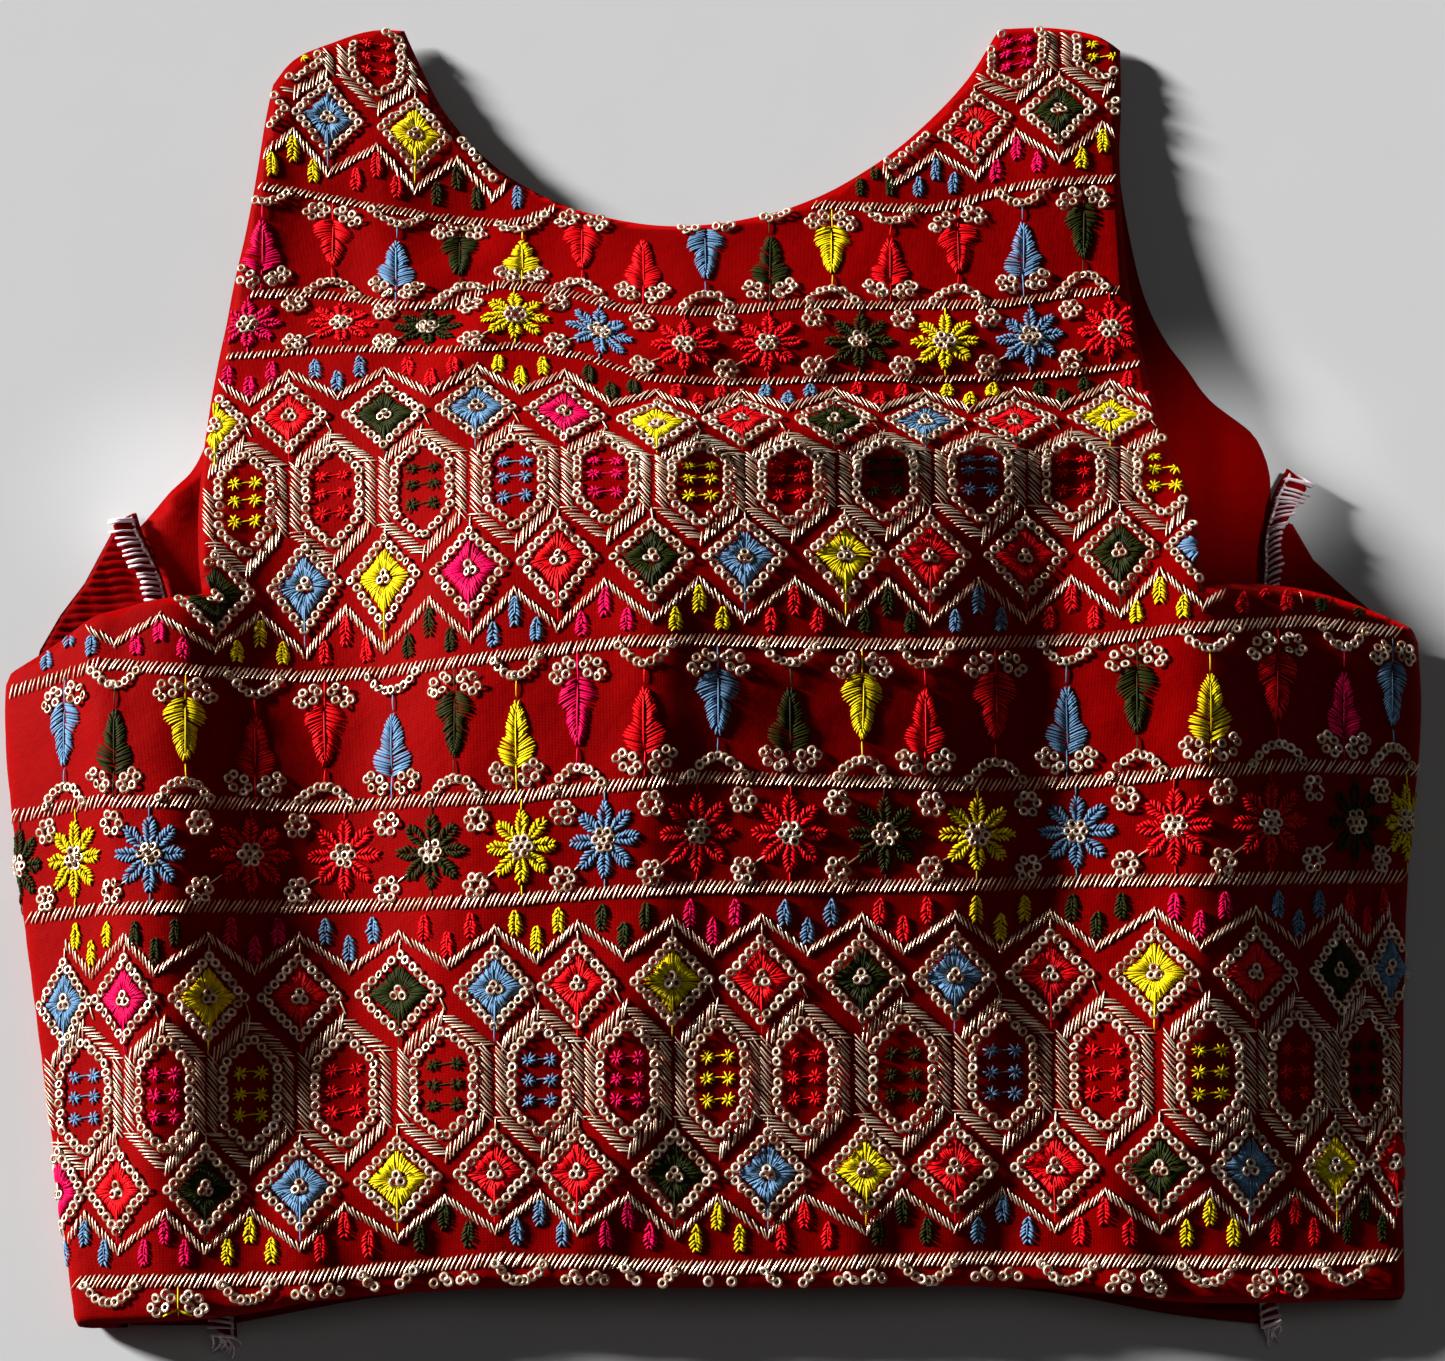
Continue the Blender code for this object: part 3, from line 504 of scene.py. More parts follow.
@functools.lru_cache(maxsize=None)
def picture_charts():
    """The chart place behind each pixel of a coarse picture grid.

    Where the cloth turns under at a side, its rows keep a least pace, so that the
    motifs there go on round the turn. Each pixel is found by going to the right
    place along its row of the chart and then to the right row, over again.
    """
    y = np.arange(-236.0, 244.0, 4.0)
    u = np.arange(-266.0, 266.0, 2.0)
    uu, yy = np.meshgrid(u, y)
    px, py = to_picture(front_place(uu, yy))
    middle = len(u) // 2
    pace = TURNED_PACE / PIXEL
    lead = px - pace * uu
    right = np.maximum.accumulate(lead[:, middle:], axis=1)
    left = np.minimum.accumulate(lead[:, middle::-1], axis=1)[:, ::-1]
    px = np.concatenate((left[:, :-1], right), axis=1) + pace * uu
    grid_x = np.arange(-PICTURE_MARGIN, PICTURE_WIDTH + PICTURE_MARGIN, PICTURE_STEP, dtype=float)
    grid_y = np.arange(-PICTURE_MARGIN, PICTURE_HEIGHT + PICTURE_MARGIN, PICTURE_STEP, dtype=float)
    want_x, want_y = (part.ravel() for part in np.meshgrid(grid_x, grid_y))
    place_y = (PICTURE_HEIGHT / 2 - want_y) * PIXEL / math.cos(TILT) + TARGET[1]
    place_u = np.zeros_like(place_y)
    each = np.arange(len(want_x))
    for _ in range(9):
        row = np.clip((place_y - y[0]) / (y[1] - y[0]), 0, len(y) - 1.001)
        low = row.astype(int)
        share = (row - low)[:, None]
        line_x = px[low] * (1 - share) + px[low + 1] * share
        line_y = py[low] * (1 - share) + py[low + 1] * share
        after = np.clip((line_x < want_x[:, None]).sum(1), 1, len(u) - 1)
        start, end = line_x[each, after - 1], line_x[each, after]
        t = (want_x - start) / (end - start)
        place_u = u[after - 1] + t * (u[1] - u[0])
        found = line_y[each, after - 1] * (1 - t) + line_y[each, after] * t
        place_y = place_y + (found - want_y) * PIXEL
    shape = (len(grid_y), len(grid_x))
    return place_u.reshape(shape), place_y.reshape(shape)


def chart_of(px, py):
    """The front's chart place at picture pixels, between the coarse grid's four nearest."""
    place_u, place_y = picture_charts()
    column = np.clip((px + PICTURE_MARGIN) / PICTURE_STEP, 0, place_u.shape[1] - 1.001)
    row = np.clip((py + PICTURE_MARGIN) / PICTURE_STEP, 0, place_u.shape[0] - 1.001)
    j, i = column.astype(int), row.astype(int)
    s, t = column - j, row - i
    weights = ((1 - s) * (1 - t), s * (1 - t), (1 - s) * t, s * t)
    return tuple(weights[0] * part[i, j] + weights[1] * part[i, j + 1]
                 + weights[2] * part[i + 1, j] + weights[3] * part[i + 1, j + 1]
                 for part in (place_u, place_y))


class Row:
    """A row of embroidery along lines across the picture."""

    def __init__(self, width, *lines):
        """The row's width scale, and its lines from the top down.

        Each is a place down the row in its own pixels, the line, and how many
        picture pixels below that line the place is.
        """
        self.width = width
        self.places = [place for place, _, _ in lines]
        self.lines = [np.array(line, dtype=float) + np.array((0, drop)) for _, line, drop in lines]

    def at(self, x, dx, dy):
        """Picture pixels of a place dx across from x and dy down the row."""
        px, dy = np.broadcast_arrays(x + dx * self.width, dy)
        heights = np.stack([np.interp(px, line[:, 0], line[:, 1]) for line in self.lines])
        low = np.clip(np.searchsorted(self.places, dy, side="right") - 1, 0, len(self.places) - 2)
        above, below = (np.take_along_axis(heights, (low + i)[None], axis=0)[0] for i in (0, 1))
        start, end = np.take(self.places, low), np.take(self.places, low + 1)
        return px, above + (below - above) * (dy - start) / (end - start)


def plain_row(width, upper, lower, height):
    """A row of an even height between two lines."""
    return Row(width, (0, upper, 0), (height, lower, 0))


def shoulder_row(line, rise):
    """A row over a line, whose parts up the shoulder are foreshortened."""
    return Row(0.90, *((place, line, (share - 1) * rise) for place, share in SHOULDER_WARP))


CHEST_LEAF_ROW = plain_row(0.92, SHOULDER_LINE_LEFT + SHOULDER_LINE_RIGHT[1:], CHEST_LINE, LEAF_HEIGHT)
CHEST_FLOWER_ROW = plain_row(0.88, CHEST_LINE, BUST_TOP_LINE, FLOWER_HEIGHT)
BUST_HEXAGON_ROW = Row(0.94, (0, BUST_TOP_LINE, 0), (UPPER_DIAMOND, UPPER_DIAMOND_LINE, 0),
                       (HEXAGON_MIDDLE, HEXAGON_LINE, 0), (LOWER_DIAMOND, LOWER_DIAMOND_LINE, 0),
                       (LOWER_VALLEY, BUST_LINE, -22), (ROW_HEIGHT, BUST_LINE, 0))
BUST_LEAF_ROW = plain_row(1, BUST_LINE, UNDERBUST_LINE, LEAF_HEIGHT)
BUST_FLOWER_ROW = plain_row(1, UNDERBUST_LINE, RIB_LINE, FLOWER_HEIGHT)
WAIST_HEXAGON_ROW = plain_row(1, RIB_LINE, WAIST_LINE, ROW_HEIGHT)
HEM_LEAF_ROW = Row(1, (0, WAIST_LINE, 0), (LEAF_HEIGHT, WAIST_LINE, LEAF_HEIGHT))
SHOULDER_LEFT_ROW = shoulder_row(SHOULDER_LINE_LEFT, 200)
SHOULDER_RIGHT_ROW = shoulder_row(SHOULDER_LINE_RIGHT, 180)


class Work:
    """Embroidery gathered before it is made: strokes and sequins of each piece, in pixels."""

    def __init__(self):
        self.random = np.random.default_rng(11)
        self.strokes = {}
        self.sequins = {}

    def stitch(self, piece, starts, ends, kind):
        """Adds straight stitches of a kind from starts to ends, pairs of pixel arrays of one shape."""
        width, lift = STITCHES[kind]
        count = np.size(starts[0])
        wander = self.random.normal(0, STITCH_WANDER, (4, count))
        data = np.stack([np.broadcast_to(part, np.shape(starts[0])).ravel()
                         for part in (starts[0], starts[1], ends[0], ends[1])])
        data = data + wander
        width = width * (1 + self.random.normal(0, WIDTH_SPREAD, count))
        tone = self.random.random(count)
        self.strokes.setdefault(piece, []).append(
            (data, width, np.full(count, lift), np.tile(TAPERS.get(kind, TAPER), (count, 1)), tone))

    def sequin(self, piece, places):
        """Adds ring sequins at picture places, a pair of pixel arrays."""
        count = np.size(places[0])
        data = np.stack([np.ravel(part) for part in places])
        data = data + self.random.normal(0, SEQUIN_WANDER, data.shape)
        self.sequins.setdefault(piece, []).append(data)


def spaced(columns, pitch):
    """Each column's x and its width share: its mean distance to its neighbours over the pitch."""
    xs = np.array([row[0] for row in columns], dtype=float)
    gaps = np.diff(xs)
    share = (np.append(gaps[:1], gaps) + np.append(gaps, gaps[-1:])) / 2 / pitch
    return np.stack((xs, np.minimum(share, 1.06)), axis=1)


def strokes_of(*rows):
    """Straight strokes of a motif, each x0, y0, x1, y1 in the row's pixels, as four arrays."""
    return tuple(np.array(rows, dtype=float).T)


def circle(count, turn=0.0):
    """Cosines and sines of even steps round a circle."""
    angle = np.arange(count) * 2 * math.pi / count + turn
    return np.cos(angle), np.sin(angle)


def per_colour(columns, places):
    """The places of each thread colour in a table of columns, without the unused colours."""
    for thread in THREADS.values():
        chosen = np.array([row[1] == thread for row in columns])
        if chosen.any():
            yield thread, places[chosen]


def fishbone(ys, halves, slant):
    """Pairs of stitches from a vein at x 0 out to an edge: starts and ends as dx, dy arrays."""
    zeros = np.zeros_like(ys)
    start_x, start_y = np.concatenate((zeros, zeros)), np.concatenate((ys + slant, ys + slant))
    end_x, end_y = np.concatenate((halves, -halves)), np.concatenate((ys, ys))
    return start_x, start_y, end_x, end_y


def lay(work, piece, row, places, strokes, kind):
    """Lays one motif's strokes, in the row's own pixels, at every place: x and width share."""
    start_x, start_y, end_x, end_y = (np.asarray(part)[None, :] for part in strokes)
    xs, share = places[:, :1], places[:, 1:]
    work.stitch(piece, row.at(xs, start_x * share, start_y), row.at(xs, end_x * share, end_y), kind)


def set_sequins(work, piece, row, places, dx, dy):
    """Sets one motif's sequins, in the row's own pixels, at every place: x and width share."""
    dx, dy = np.asarray(dx)[None, :], np.asarray(dy)[None, :]
    work.sequin(piece, row.at(places[:, :1], dx * places[:, 1:], dy))


def polyline(points, step):
    """Even places along a chain of straight lines, with the direction at each."""
    points = np.asarray(points, dtype=float)
    spans = np.diff(points, axis=0)
    lengths = np.hypot(*spans.T)
    places, headings = [], []
    for start, span, length in zip(points[:-1], spans, lengths):
        count = max(1, round(length / step))
        t = (np.arange(count) + 0.5) / count
        places.append(start + t[:, None] * span)
        headings.append(np.tile(span / length, (count, 1)))
    return np.concatenate(places), np.concatenate(headings)


def bar(points, thickness, step, slant, mirrored=False):
    """Stitches that fill a bar along a chain of lines: starts and ends as dx, dy arrays.

    All are turned the same way from the line, or mirrored where it runs down.
    """
    places, headings = polyline(points, step)
    across = np.stack((headings[:, 1], -headings[:, 0]), axis=1)
    across = np.where(mirrored & (headings[:, 1:] > 0), -across, across)
    reach = (across + headings * slant) * thickness / 2
    starts, ends = places - reach, places + reach
    return starts[:, 0], starts[:, 1], ends[:, 0], ends[:, 1]


def lay_leaves(work, row, columns, first_up):
    """Leaves by turns tip up under scallops and tip down over arches, with sequin fans."""
    places = spaced(columns, LEAF_PITCH * row.width)
    blade, vein = fishbone(LEAF_YS, LEAF_HALVES, LEAF_SLANT), strokes_of(*LEAF_VEIN)
    arc = np.linspace(-1, 1, 9)
    hang = SCALLOP_TOP - SCALLOP_DEPTH * arc ** 2
    cosine, sine = circle(6)
    fan_x = FAN_X + FAN_WIDTH * cosine
    fan_x = np.concatenate((fan_x, -fan_x))
    fan_y = np.tile(FAN_Y + FAN_HEIGHT * sine - FAN_TILT * cosine, 2)
    for up in (1, 0):
        if not up:
            blade, vein = (tuple(LEAF_FLIP - part if i % 2 else part for i, part in enumerate(strokes))
                           for strokes in (blade, vein))
            hang, fan_y = LEAF_HEIGHT - hang, FAN_FLIP - fan_y
        chosen = (np.arange(len(columns)) + first_up) % 2 == up
        for thread, xs in per_colour([c for c, taken in zip(columns, chosen) if taken], places[chosen]):
            lay(work, thread, row, xs, blade, "blade")
            lay(work, thread, row, xs, vein, "vein")
        set_sequins(work, "sequins_rows", row, places[chosen], SCALLOP_HALF * arc, hang)
        set_sequins(work, "sequins_rows", row, places[chosen], fan_x, fan_y)


def lay_flowers(work, row, columns):
    """Eight-petalled flowers round a sequin cluster, with sequin florets between them."""
    cosine, sine = (part[:, None, None] for part in circle(8))
    out = np.array((-1, 1))[:, None] * PETAL_HALVES
    deep = PETAL_REACH - PETAL_DEPTH + 0 * out
    petals = tuple(part.ravel() for part in (
        deep * cosine, FLOWER_MIDDLE + deep * sine,
        PETAL_REACH * cosine - out * sine, FLOWER_MIDDLE + PETAL_REACH * sine + out * cosine))
    xs = spaced(columns, FLOWER_PITCH * row.width)
    for thread, some in per_colour(columns, xs):
        lay(work, thread, row, some, petals, "petal")
        lay(work, thread, row, some, strokes_of(*FLOWER_STEMS), "link")
    between = (xs[1:] + xs[:-1]) / 2
    cosine, sine = circle(6)
    set_sequins(work, "sequins_rows", row, xs, np.append(HEART_RADIUS * cosine, 0.0),
                FLOWER_MIDDLE + np.append(HEART_RADIUS * sine, 0.0))
    for floret_y in FLORET_YS:
        set_sequins(work, "sequins_rows", row, between, FLORET_RADIUS * cosine,
                    floret_y + FLORET_RADIUS * sine)
    lay(work, "metal_frames", row, between, strokes_of((6, 82, 24, 70)), "link")


def zigzag(row, peaks, valleys, peak_y, valley_y):
    """Corners of a zigzag in picture pixels, from its columns of peaks and valleys.

    Two peaks with no valley's column between them get a valley midway.
    """
    peaks, valleys = ([x for x, _ in table] for table in (peaks, valleys))
    for left, right in zip(peaks[:-1], peaks[1:]):
        if not any(left < x < right for x in valleys):
            valleys.append((left + right) / 2)
    corners = sorted([(x, peak_y) for x in peaks] + [(x, valley_y) for x in valleys])
    xs, ys = np.array(corners, dtype=float).T
    return np.stack(row.at(xs, 0.0, ys), axis=1)


def lay_bar(work, piece, corners, thickness, step, kind, slant, mirrored=False):
    """A bar of slanted metal stitches along picture corners."""
    strokes = bar(corners, thickness, step, slant, mirrored)
    work.stitch(piece, strokes[:2], strokes[2:], kind)


def lay_zigzag(work, corners):
    """A zigzag of metal stitches, each steeper than the line that it lies on."""
    lay_bar(work, "metal_frames", corners, ZIGZAG_BAR, BAR_STEP, "zigzag", ZIGZAG_SLANT, True)


def lay_diamonds(work, row, columns, middle):
    """Diamonds: stitches out from the middle to a slightly hollow edge, in a line of sequins."""
    angle = (np.arange(DIAMOND_RAYS) + 0.5) * 2 * math.pi / DIAMOND_RAYS
    cosine, sine = np.cos(angle), np.sin(angle)
    edge = 1 / (np.abs(cosine) / DIAMOND_HALF + np.abs(sine) / DIAMOND_RISE)
    edge *= 1 - DIAMOND_HOLLOW * np.sin(2 * angle) ** 2
    rays = (DIAMOND_HEART * cosine, middle + DIAMOND_HEART * sine, edge * cosine, middle + edge * sine)
    corners, share = np.array(DIAMOND_FRAME, dtype=float), (np.arange(6) / 6)[:, None]
    frame_x, frame_y = np.concatenate([start + (end - start) * share for start, end in
                                       zip(corners, np.roll(corners, -1, axis=0))]).T
    xs = spaced(columns, HEXAGON_PITCH * row.width)
    for thread, some in per_colour(columns, xs):
        lay(work, thread, row, some, rays, "ray")
        lay(work, thread, row, some, strokes_of((0, middle + 8, 0, middle + 60)), "tail")
    lay(work, "metal_frames", row, xs, strokes_of((0, middle - 58, 0, middle - 40)), "tick")
    if middle < HEXAGON_TOP:
        lay(work, "metal_frames", row, xs, strokes_of((39, middle + 3, 46, HEXAGON_TOP - 4)), "link")
    set_sequins(work, "sequins_diamonds", row, xs, frame_x, middle + frame_y)
    cosine, sine = circle(3, 0.5)
    set_sequins(work, "sequins_diamonds", row, xs, 4.6 * cosine, middle + 4.6 * sine)


def lay_drops(work, row, columns, middle_y, outer_y):
    """Three small feathered drops in a column, the middle one out of line with the others."""
    ys = np.linspace(-10.0, 12.0, 7)
    feather = fishbone(ys, np.interp(ys, (-13, -6, 3, 10, 14), (2.5, 6.2, 7.6, 6.0, 3.0)), -6.0)
    for thread, xs in per_colour(columns, spaced(columns, HEXAGON_PITCH * row.width)):
        for move in ((-DROP_SPREAD, outer_y), (0.0, middle_y), (DROP_SPREAD, outer_y)):
            for strokes, kind in ((feather, "feather"), (strokes_of((0, -15, 0, 6)), "spine")):
                moved = [part + step for part, step in zip(strokes, move * 2)]
                lay(work, thread, row, xs, moved, kind)


def lay_stars(work, row, columns):
    """Six small stars in each hexagon, joined in pairs by a thread."""
    cosine, sine = circle(8, 0.2)
    for thread, xs in per_colour(columns, spaced(columns, HEXAGON_PITCH * row.width)):
        for centre in (HEXAGON_MIDDLE + dy for dy in STAR_ROWS):
            for dx in STAR_COLUMNS:
                rays = (np.full(8, dx), np.full(8, centre),
                        dx + STAR_RADIUS * cosine, centre + STAR_RADIUS * sine)
                lay(work, thread, row, xs, rays, "star")
            left, right = STAR_COLUMNS
            lay(work, thread, row, xs, strokes_of((left, centre, right, centre - 2)), "pair")


def hexagon(side, top, shoulder, bottom):
    """Corners of the row's hexagon drawn in from its sides, top, shoulders and bottom."""
    half, high, low = HEXAGON_HALF - side, HEXAGON_SHOULDER + shoulder, HEXAGON_FLANK - shoulder
    tip = (0, HEXAGON_TOP + top)
    return tip, (half, high), (half, low), (0, HEXAGON_BOTTOM - bottom), (-half, low), (-half, high), tip


def lay_hexagons(work, row, columns):
    """Hexagons of slanted metal stitches, lined with sequins."""
    xs = spaced(columns, HEXAGON_PITCH * row.width)
    edge = bar(hexagon(0, 0, 0, 0), HEXAGON_BAR, BAR_STEP, STITCH_SLANT)
    lay(work, "metal_frames", row, xs, edge, "hexagon")
    lining, _ = polyline(hexagon(LINING_SIDE, LINING_TOP, LINING_SHOULDER, LINING_BOTTOM), LINING_STEP)
    set_sequins(work, "sequins_hexagons", row, xs, lining[:, 0], lining[:, 1])
    lay_stars(work, row, columns)


@functools.lru_cache(maxsize=None)
def embroidery():
    """All the rows of embroidery, from the shoulders down."""
    work = Work()
    for line, height in BORDERS:
        lay_bar(work, "metal_borders", line, height, BORDER_STEP, "border", BORDER_SLANT)
    lay_leaves(work, CHEST_LEAF_ROW, CHEST_LEAVES, 1)
    lay_leaves(work, BUST_LEAF_ROW, BUST_LEAVES, 0)
    lay_leaves(work, HEM_LEAF_ROW, HEM_LEAVES, 1)
    lay_flowers(work, CHEST_FLOWER_ROW, CHEST_FLOWERS)
    lay_flowers(work, BUST_FLOWER_ROW, BUST_FLOWERS)
    # Hexagon rows: the row, upper diamonds, hexagons, lower diamonds, upper drops and lower drops
    rows = (
        (SHOULDER_LEFT_ROW, (), SHOULDER_LEFT_HEXAGONS, SHOULDER_LEFT_LOWER_DIAMONDS,
         (), SHOULDER_LEFT_HEXAGONS),
        (SHOULDER_RIGHT_ROW, (), SHOULDER_RIGHT_HEXAGONS, SHOULDER_RIGHT_LOWER_DIAMONDS,
         (), SHOULDER_RIGHT_HEXAGONS),
        (BUST_HEXAGON_ROW, BUST_UPPER_DIAMONDS, BUST_HEXAGONS, BUST_LOWER_DIAMONDS,
         BUST_UPPER_DROPS, BUST_LOWER_DROPS),
        (WAIST_HEXAGON_ROW, WAIST_UPPER_DIAMONDS, WAIST_HEXAGONS, WAIST_LOWER_DIAMONDS,
         WAIST_UPPER_DROPS, WAIST_HEXAGONS),
    )
    for row, upper, hexagons, lower, upper_drops, lower_drops in rows:
        if upper:
            lay_zigzag(work, zigzag(row, upper, upper_drops, UPPER_PEAK, UPPER_VALLEY))
            lay_diamonds(work, row, upper, UPPER_DIAMOND)
            lay_drops(work, row, upper_drops, UPPER_DROP_MIDDLE, UPPER_DROP_OUTER)
        lay_hexagons(work, row, hexagons)
        lay_diamonds(work, row, lower, LOWER_DIAMOND)
        lay_zigzag(work, zigzag(row, lower_drops, lower, LOWER_PEAK, LOWER_VALLEY))
        lay_drops(work, row, lower_drops, LOWER_DROP_MIDDLE, LOWER_DROP_OUTER)
    return work


def on_cloth(px, py, margin):
    """Whether stitches at picture pixels land on the front's face, clear of its edge."""
    u, y = chart_of(px, py)
    inside, _, gap = against(front_outline(EDGE_STEP), np.stack((u, y), axis=-1))
    return inside & (gap > margin) & (normal_of(u, y)[:, 2] > -0.1)


def make_piece(name, points, faces, material, tone=None, uv=None):
    """A smooth mesh object at the origin, in the part's frame, from whole arrays in plan millimetres."""
    mesh = bpy.data.meshes.new(name)
    points = to_frame(np.asarray(points))
    sizes = np.full(len(faces), faces.shape[1])
    mesh.vertices.add(len(points))
    mesh.vertices.foreach_set("co", points.ravel())
    mesh.loops.add(faces.size)
    mesh.loops.foreach_set("vertex_index", faces.ravel().astype(np.int32))
    mesh.polygons.add(len(faces))
    mesh.polygons.foreach_set("loop_start", np.concatenate(((0,), np.cumsum(sizes)[:-1])).astype(np.int32))
    mesh.polygons.foreach_set("use_smooth", np.ones(len(faces), dtype=bool))
    if tone is not None:
        mesh.attributes.new("tone", "FLOAT", "POINT").data.foreach_set("value", tone.astype(np.float32))
    if uv is not None:
        layer = mesh.uv_layers.new(name="cloth")
        layer.data.foreach_set("uv", uv[faces.ravel()].ravel().astype(np.float32))
    mesh.update(calc_edges=True)
    mesh.validate()
    mesh.materials.append(material)
    piece = bpy.data.objects.new(name, mesh)
    bpy.context.scene.collection.objects.link(piece)
    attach(piece, "root")
    return piece


def tubes(paths, radii, sides, up):
    """Closed tubes along paths, whose first and last points are their tips.

    Every other point has a ring of its own radius across the path, turned so that
    it starts beside the up direction. Gives the points and the triangles.
    """
    count, length = paths.shape[:2]
    rings = length - 2
    tangent = np.gradient(paths, axis=1)[:, 1:-1]
    tangent /= np.linalg.norm(tangent, axis=-1, keepdims=True) + 1e-9
    side = np.cross(tangent, up)
    side /= np.linalg.norm(side, axis=-1, keepdims=True) + 1e-9
    lift = np.cross(side, tangent)
    angle = (np.arange(sides) + 0.25) * 2 * math.pi / sides
    around = (side[:, :, None] * np.cos(angle)[:, None] + lift[:, :, None] * np.sin(angle)[:, None])
    ring_points = paths[:, 1:-1, None] + radii[:, :, None, None] * around
    points = np.concatenate((paths[:, :1], ring_points.reshape(count, rings * sides, 3), paths[:, -1:]),
                            axis=1)
    j = np.arange(sides)
    k = (j + 1) % sides
    last = 1 + rings * sides
    template = [np.stack((np.zeros_like(j), 1 + j, 1 + k), axis=1)]
    for ring in range(rings - 1):
        a, b = 1 + ring * sides, 1 + (ring + 1) * sides
        template.append(np.stack((a + j, b + j, b + k), axis=1))
        template.append(np.stack((a + j, b + k, a + k), axis=1))
    a = 1 + (rings - 1) * sides
    template.append(np.stack((np.full_like(j, last), a + k, a + j), axis=1))
    template = np.concatenate(template)
    faces = (np.arange(count)[:, None, None] * (last + 1) + template[None]).reshape(-1, 3)
    return points.reshape(-1, 3), faces


def stitched_piece(name, piece, material):
    """All the stitches of one thread as spindles that arch over the cloth between their ends."""
    parts = embroidery().strokes[piece]
    data = np.concatenate([part[0] for part in parts], axis=1)
    width, lift, tone = (np.concatenate([part[i] for part in parts]) for i in (1, 2, 4))
    taper = np.concatenate([part[3] for part in parts])
    keep = on_cloth(data[0], data[1], STITCH_MARGIN) & on_cloth(data[2], data[3], STITCH_MARGIN)
    data, width, lift, taper, tone = data[:, keep], width[keep], lift[keep], taper[keep], tone[keep]
    t = np.array(STITCH_STATIONS)[:, None]
    u, y = chart_of(data[0] * (1 - t) + data[2] * t, data[1] * (1 - t) + data[3] * t)
    normal = normal_of(u, y)
    height = lift * np.array(STITCH_ARCH)[:, None]
    paths = (front_place(u, y) + normal * height[..., None]).transpose(1, 0, 2)
    radii = 0.5 * width[:, None] * taper
    points, faces = tubes(paths, radii, STITCH_SIDES, normal[1:-1].transpose(1, 0, 2))
    each = len(points) // len(tone)
    return make_piece(name, points, faces, material, np.repeat(tone, each))


def sequin_piece(name, piece, material, outer, hole):
    """Ring sequins as thin turned rings, each tipped a little its own way."""
    data = np.concatenate(embroidery().sequins[piece], axis=1)
    data = data[:, on_cloth(data[0], data[1], SEQUIN_MARGIN)]
    random = np.random.default_rng(5)
    count = data.shape[1]
    u, y = chart_of(data[0], data[1])
    normal = normal_of(u, y) + random.normal(0, SEQUIN_TILT, (count, 3))
    normal /= np.linalg.norm(normal, axis=1, keepdims=True)
    first = np.cross(normal, (0.0, 1.0, 0.0))
    first /= np.linalg.norm(first, axis=1, keepdims=True)
    second = np.cross(normal, first)
    cosine, sine = circle(SEQUIN_SIDES)
    radial = first[:, None] * cosine[:, None] + second[:, None] * sine[:, None]
    ring = ((hole / 2, 0.0), ((outer + hole) / 4, SEQUIN_RIDGE), (outer / 2, SEQUIN_RIM))
    lift = SEQUIN_LIFT + random.random((count, 1)) * LIFT_SPREAD
    middle = front_place(u, y) + normal_of(u, y) * lift
    points = np.stack([middle[:, None] + radial * r + normal[:, None] * h for r, h in ring], axis=2)
    j = 3 * np.arange(SEQUIN_SIDES)
    k = np.roll(j, -1)
    template = np.concatenate([np.stack((j + a, j + b, k + b, k + a), axis=1)
                               for a, b in ((0, 1), (1, 2), (2, 0))])
    each = 3 * SEQUIN_SIDES
    faces = (np.arange(count)[:, None, None] * each + template[None]).reshape(-1, 4)
    tone = np.repeat(random.random(count), each)
    return make_piece(name, points.reshape(-1, 3), faces, material, tone)


def sheet_of(name, outline, step, place, normal, thickness, material):
    """A cloth sheet cut from a grid: cells inside an outline, edge points moved onto it.

    The outer and inner faces lie a thickness apart along the normals, and meet in
    a rounded edge at half of it.
    """
    low, high = outline.min(0), outline.max(0)
    u = np.arange(low[0] - step, high[0] + 2 * step, step)
    y = np.arange(low[1] - step, high[1] + 2 * step, step)
    uu, yy = np.meshgrid(u, y)
    centres = np.stack(((uu[:-1, :-1] + step / 2).ravel(), (yy[:-1, :-1] + step / 2).ravel()), axis=1)
    kept, _, _ = against(outline, centres)
    kept = kept.reshape(len(y) - 1, len(u) - 1)
    padded = np.pad(kept, 1).astype(int)
    around = padded[:-1, :-1] + padded[1:, :-1] + padded[:-1, 1:] + padded[1:, 1:]
    chart = np.stack((uu, yy), axis=-1)
    edge = (around > 0) & (around < 4)
    _, nearest, _ = against(outline, chart[edge])
    chart[edge] = nearest
    used = around > 0
    number = np.full(used.shape, -1)
    number[used] = np.arange(used.sum())
    flat = chart[used]
    on_edge = edge[used]
    place_points, normals = place(flat[:, 0], flat[:, 1]), normal(flat[:, 0], flat[:, 1])
    outer = place_points - normals * np.where(on_edge, thickness / 2, 0.0)[:, None]
    inner = place_points - normals * thickness
    second = np.where(on_edge, np.arange(len(flat)), 0)
    second[~on_edge] = len(flat) + np.arange((~on_edge).sum())
    i, j = np.nonzero(kept)
    quads = np.stack((number[i, j], number[i, j + 1], number[i + 1, j + 1], number[i + 1, j]), axis=1)
    faces = np.concatenate((quads, second[quads[:, ::-1]]))
    points = np.concatenate((outer, inner[~on_edge]))
    uv = np.concatenate((flat, flat[~on_edge])) * MM
    return make_piece(name, points, faces, material, None, uv)


class Signal:
    """A number or colour that a node gives out. Python's operators on it add Math nodes."""

    def __init__(self, shader, socket):
        self.shader = shader
        self.socket = socket

    def maths(self, operation, *values):
        """A Math node of an operation on these values."""
        return self.shader.node("ShaderNodeMath", {"operation": operation}, dict(enumerate(values)))

    def clamped(self):
        """This number kept between 0 and 1."""
        return self.maths("MINIMUM", self.maths("MAXIMUM", self, 0.0), 1.0)

    def wave(self):
        """The sine of this number, from 0 to 1."""
        return self.maths("SINE", self) * 0.5 + 0.5


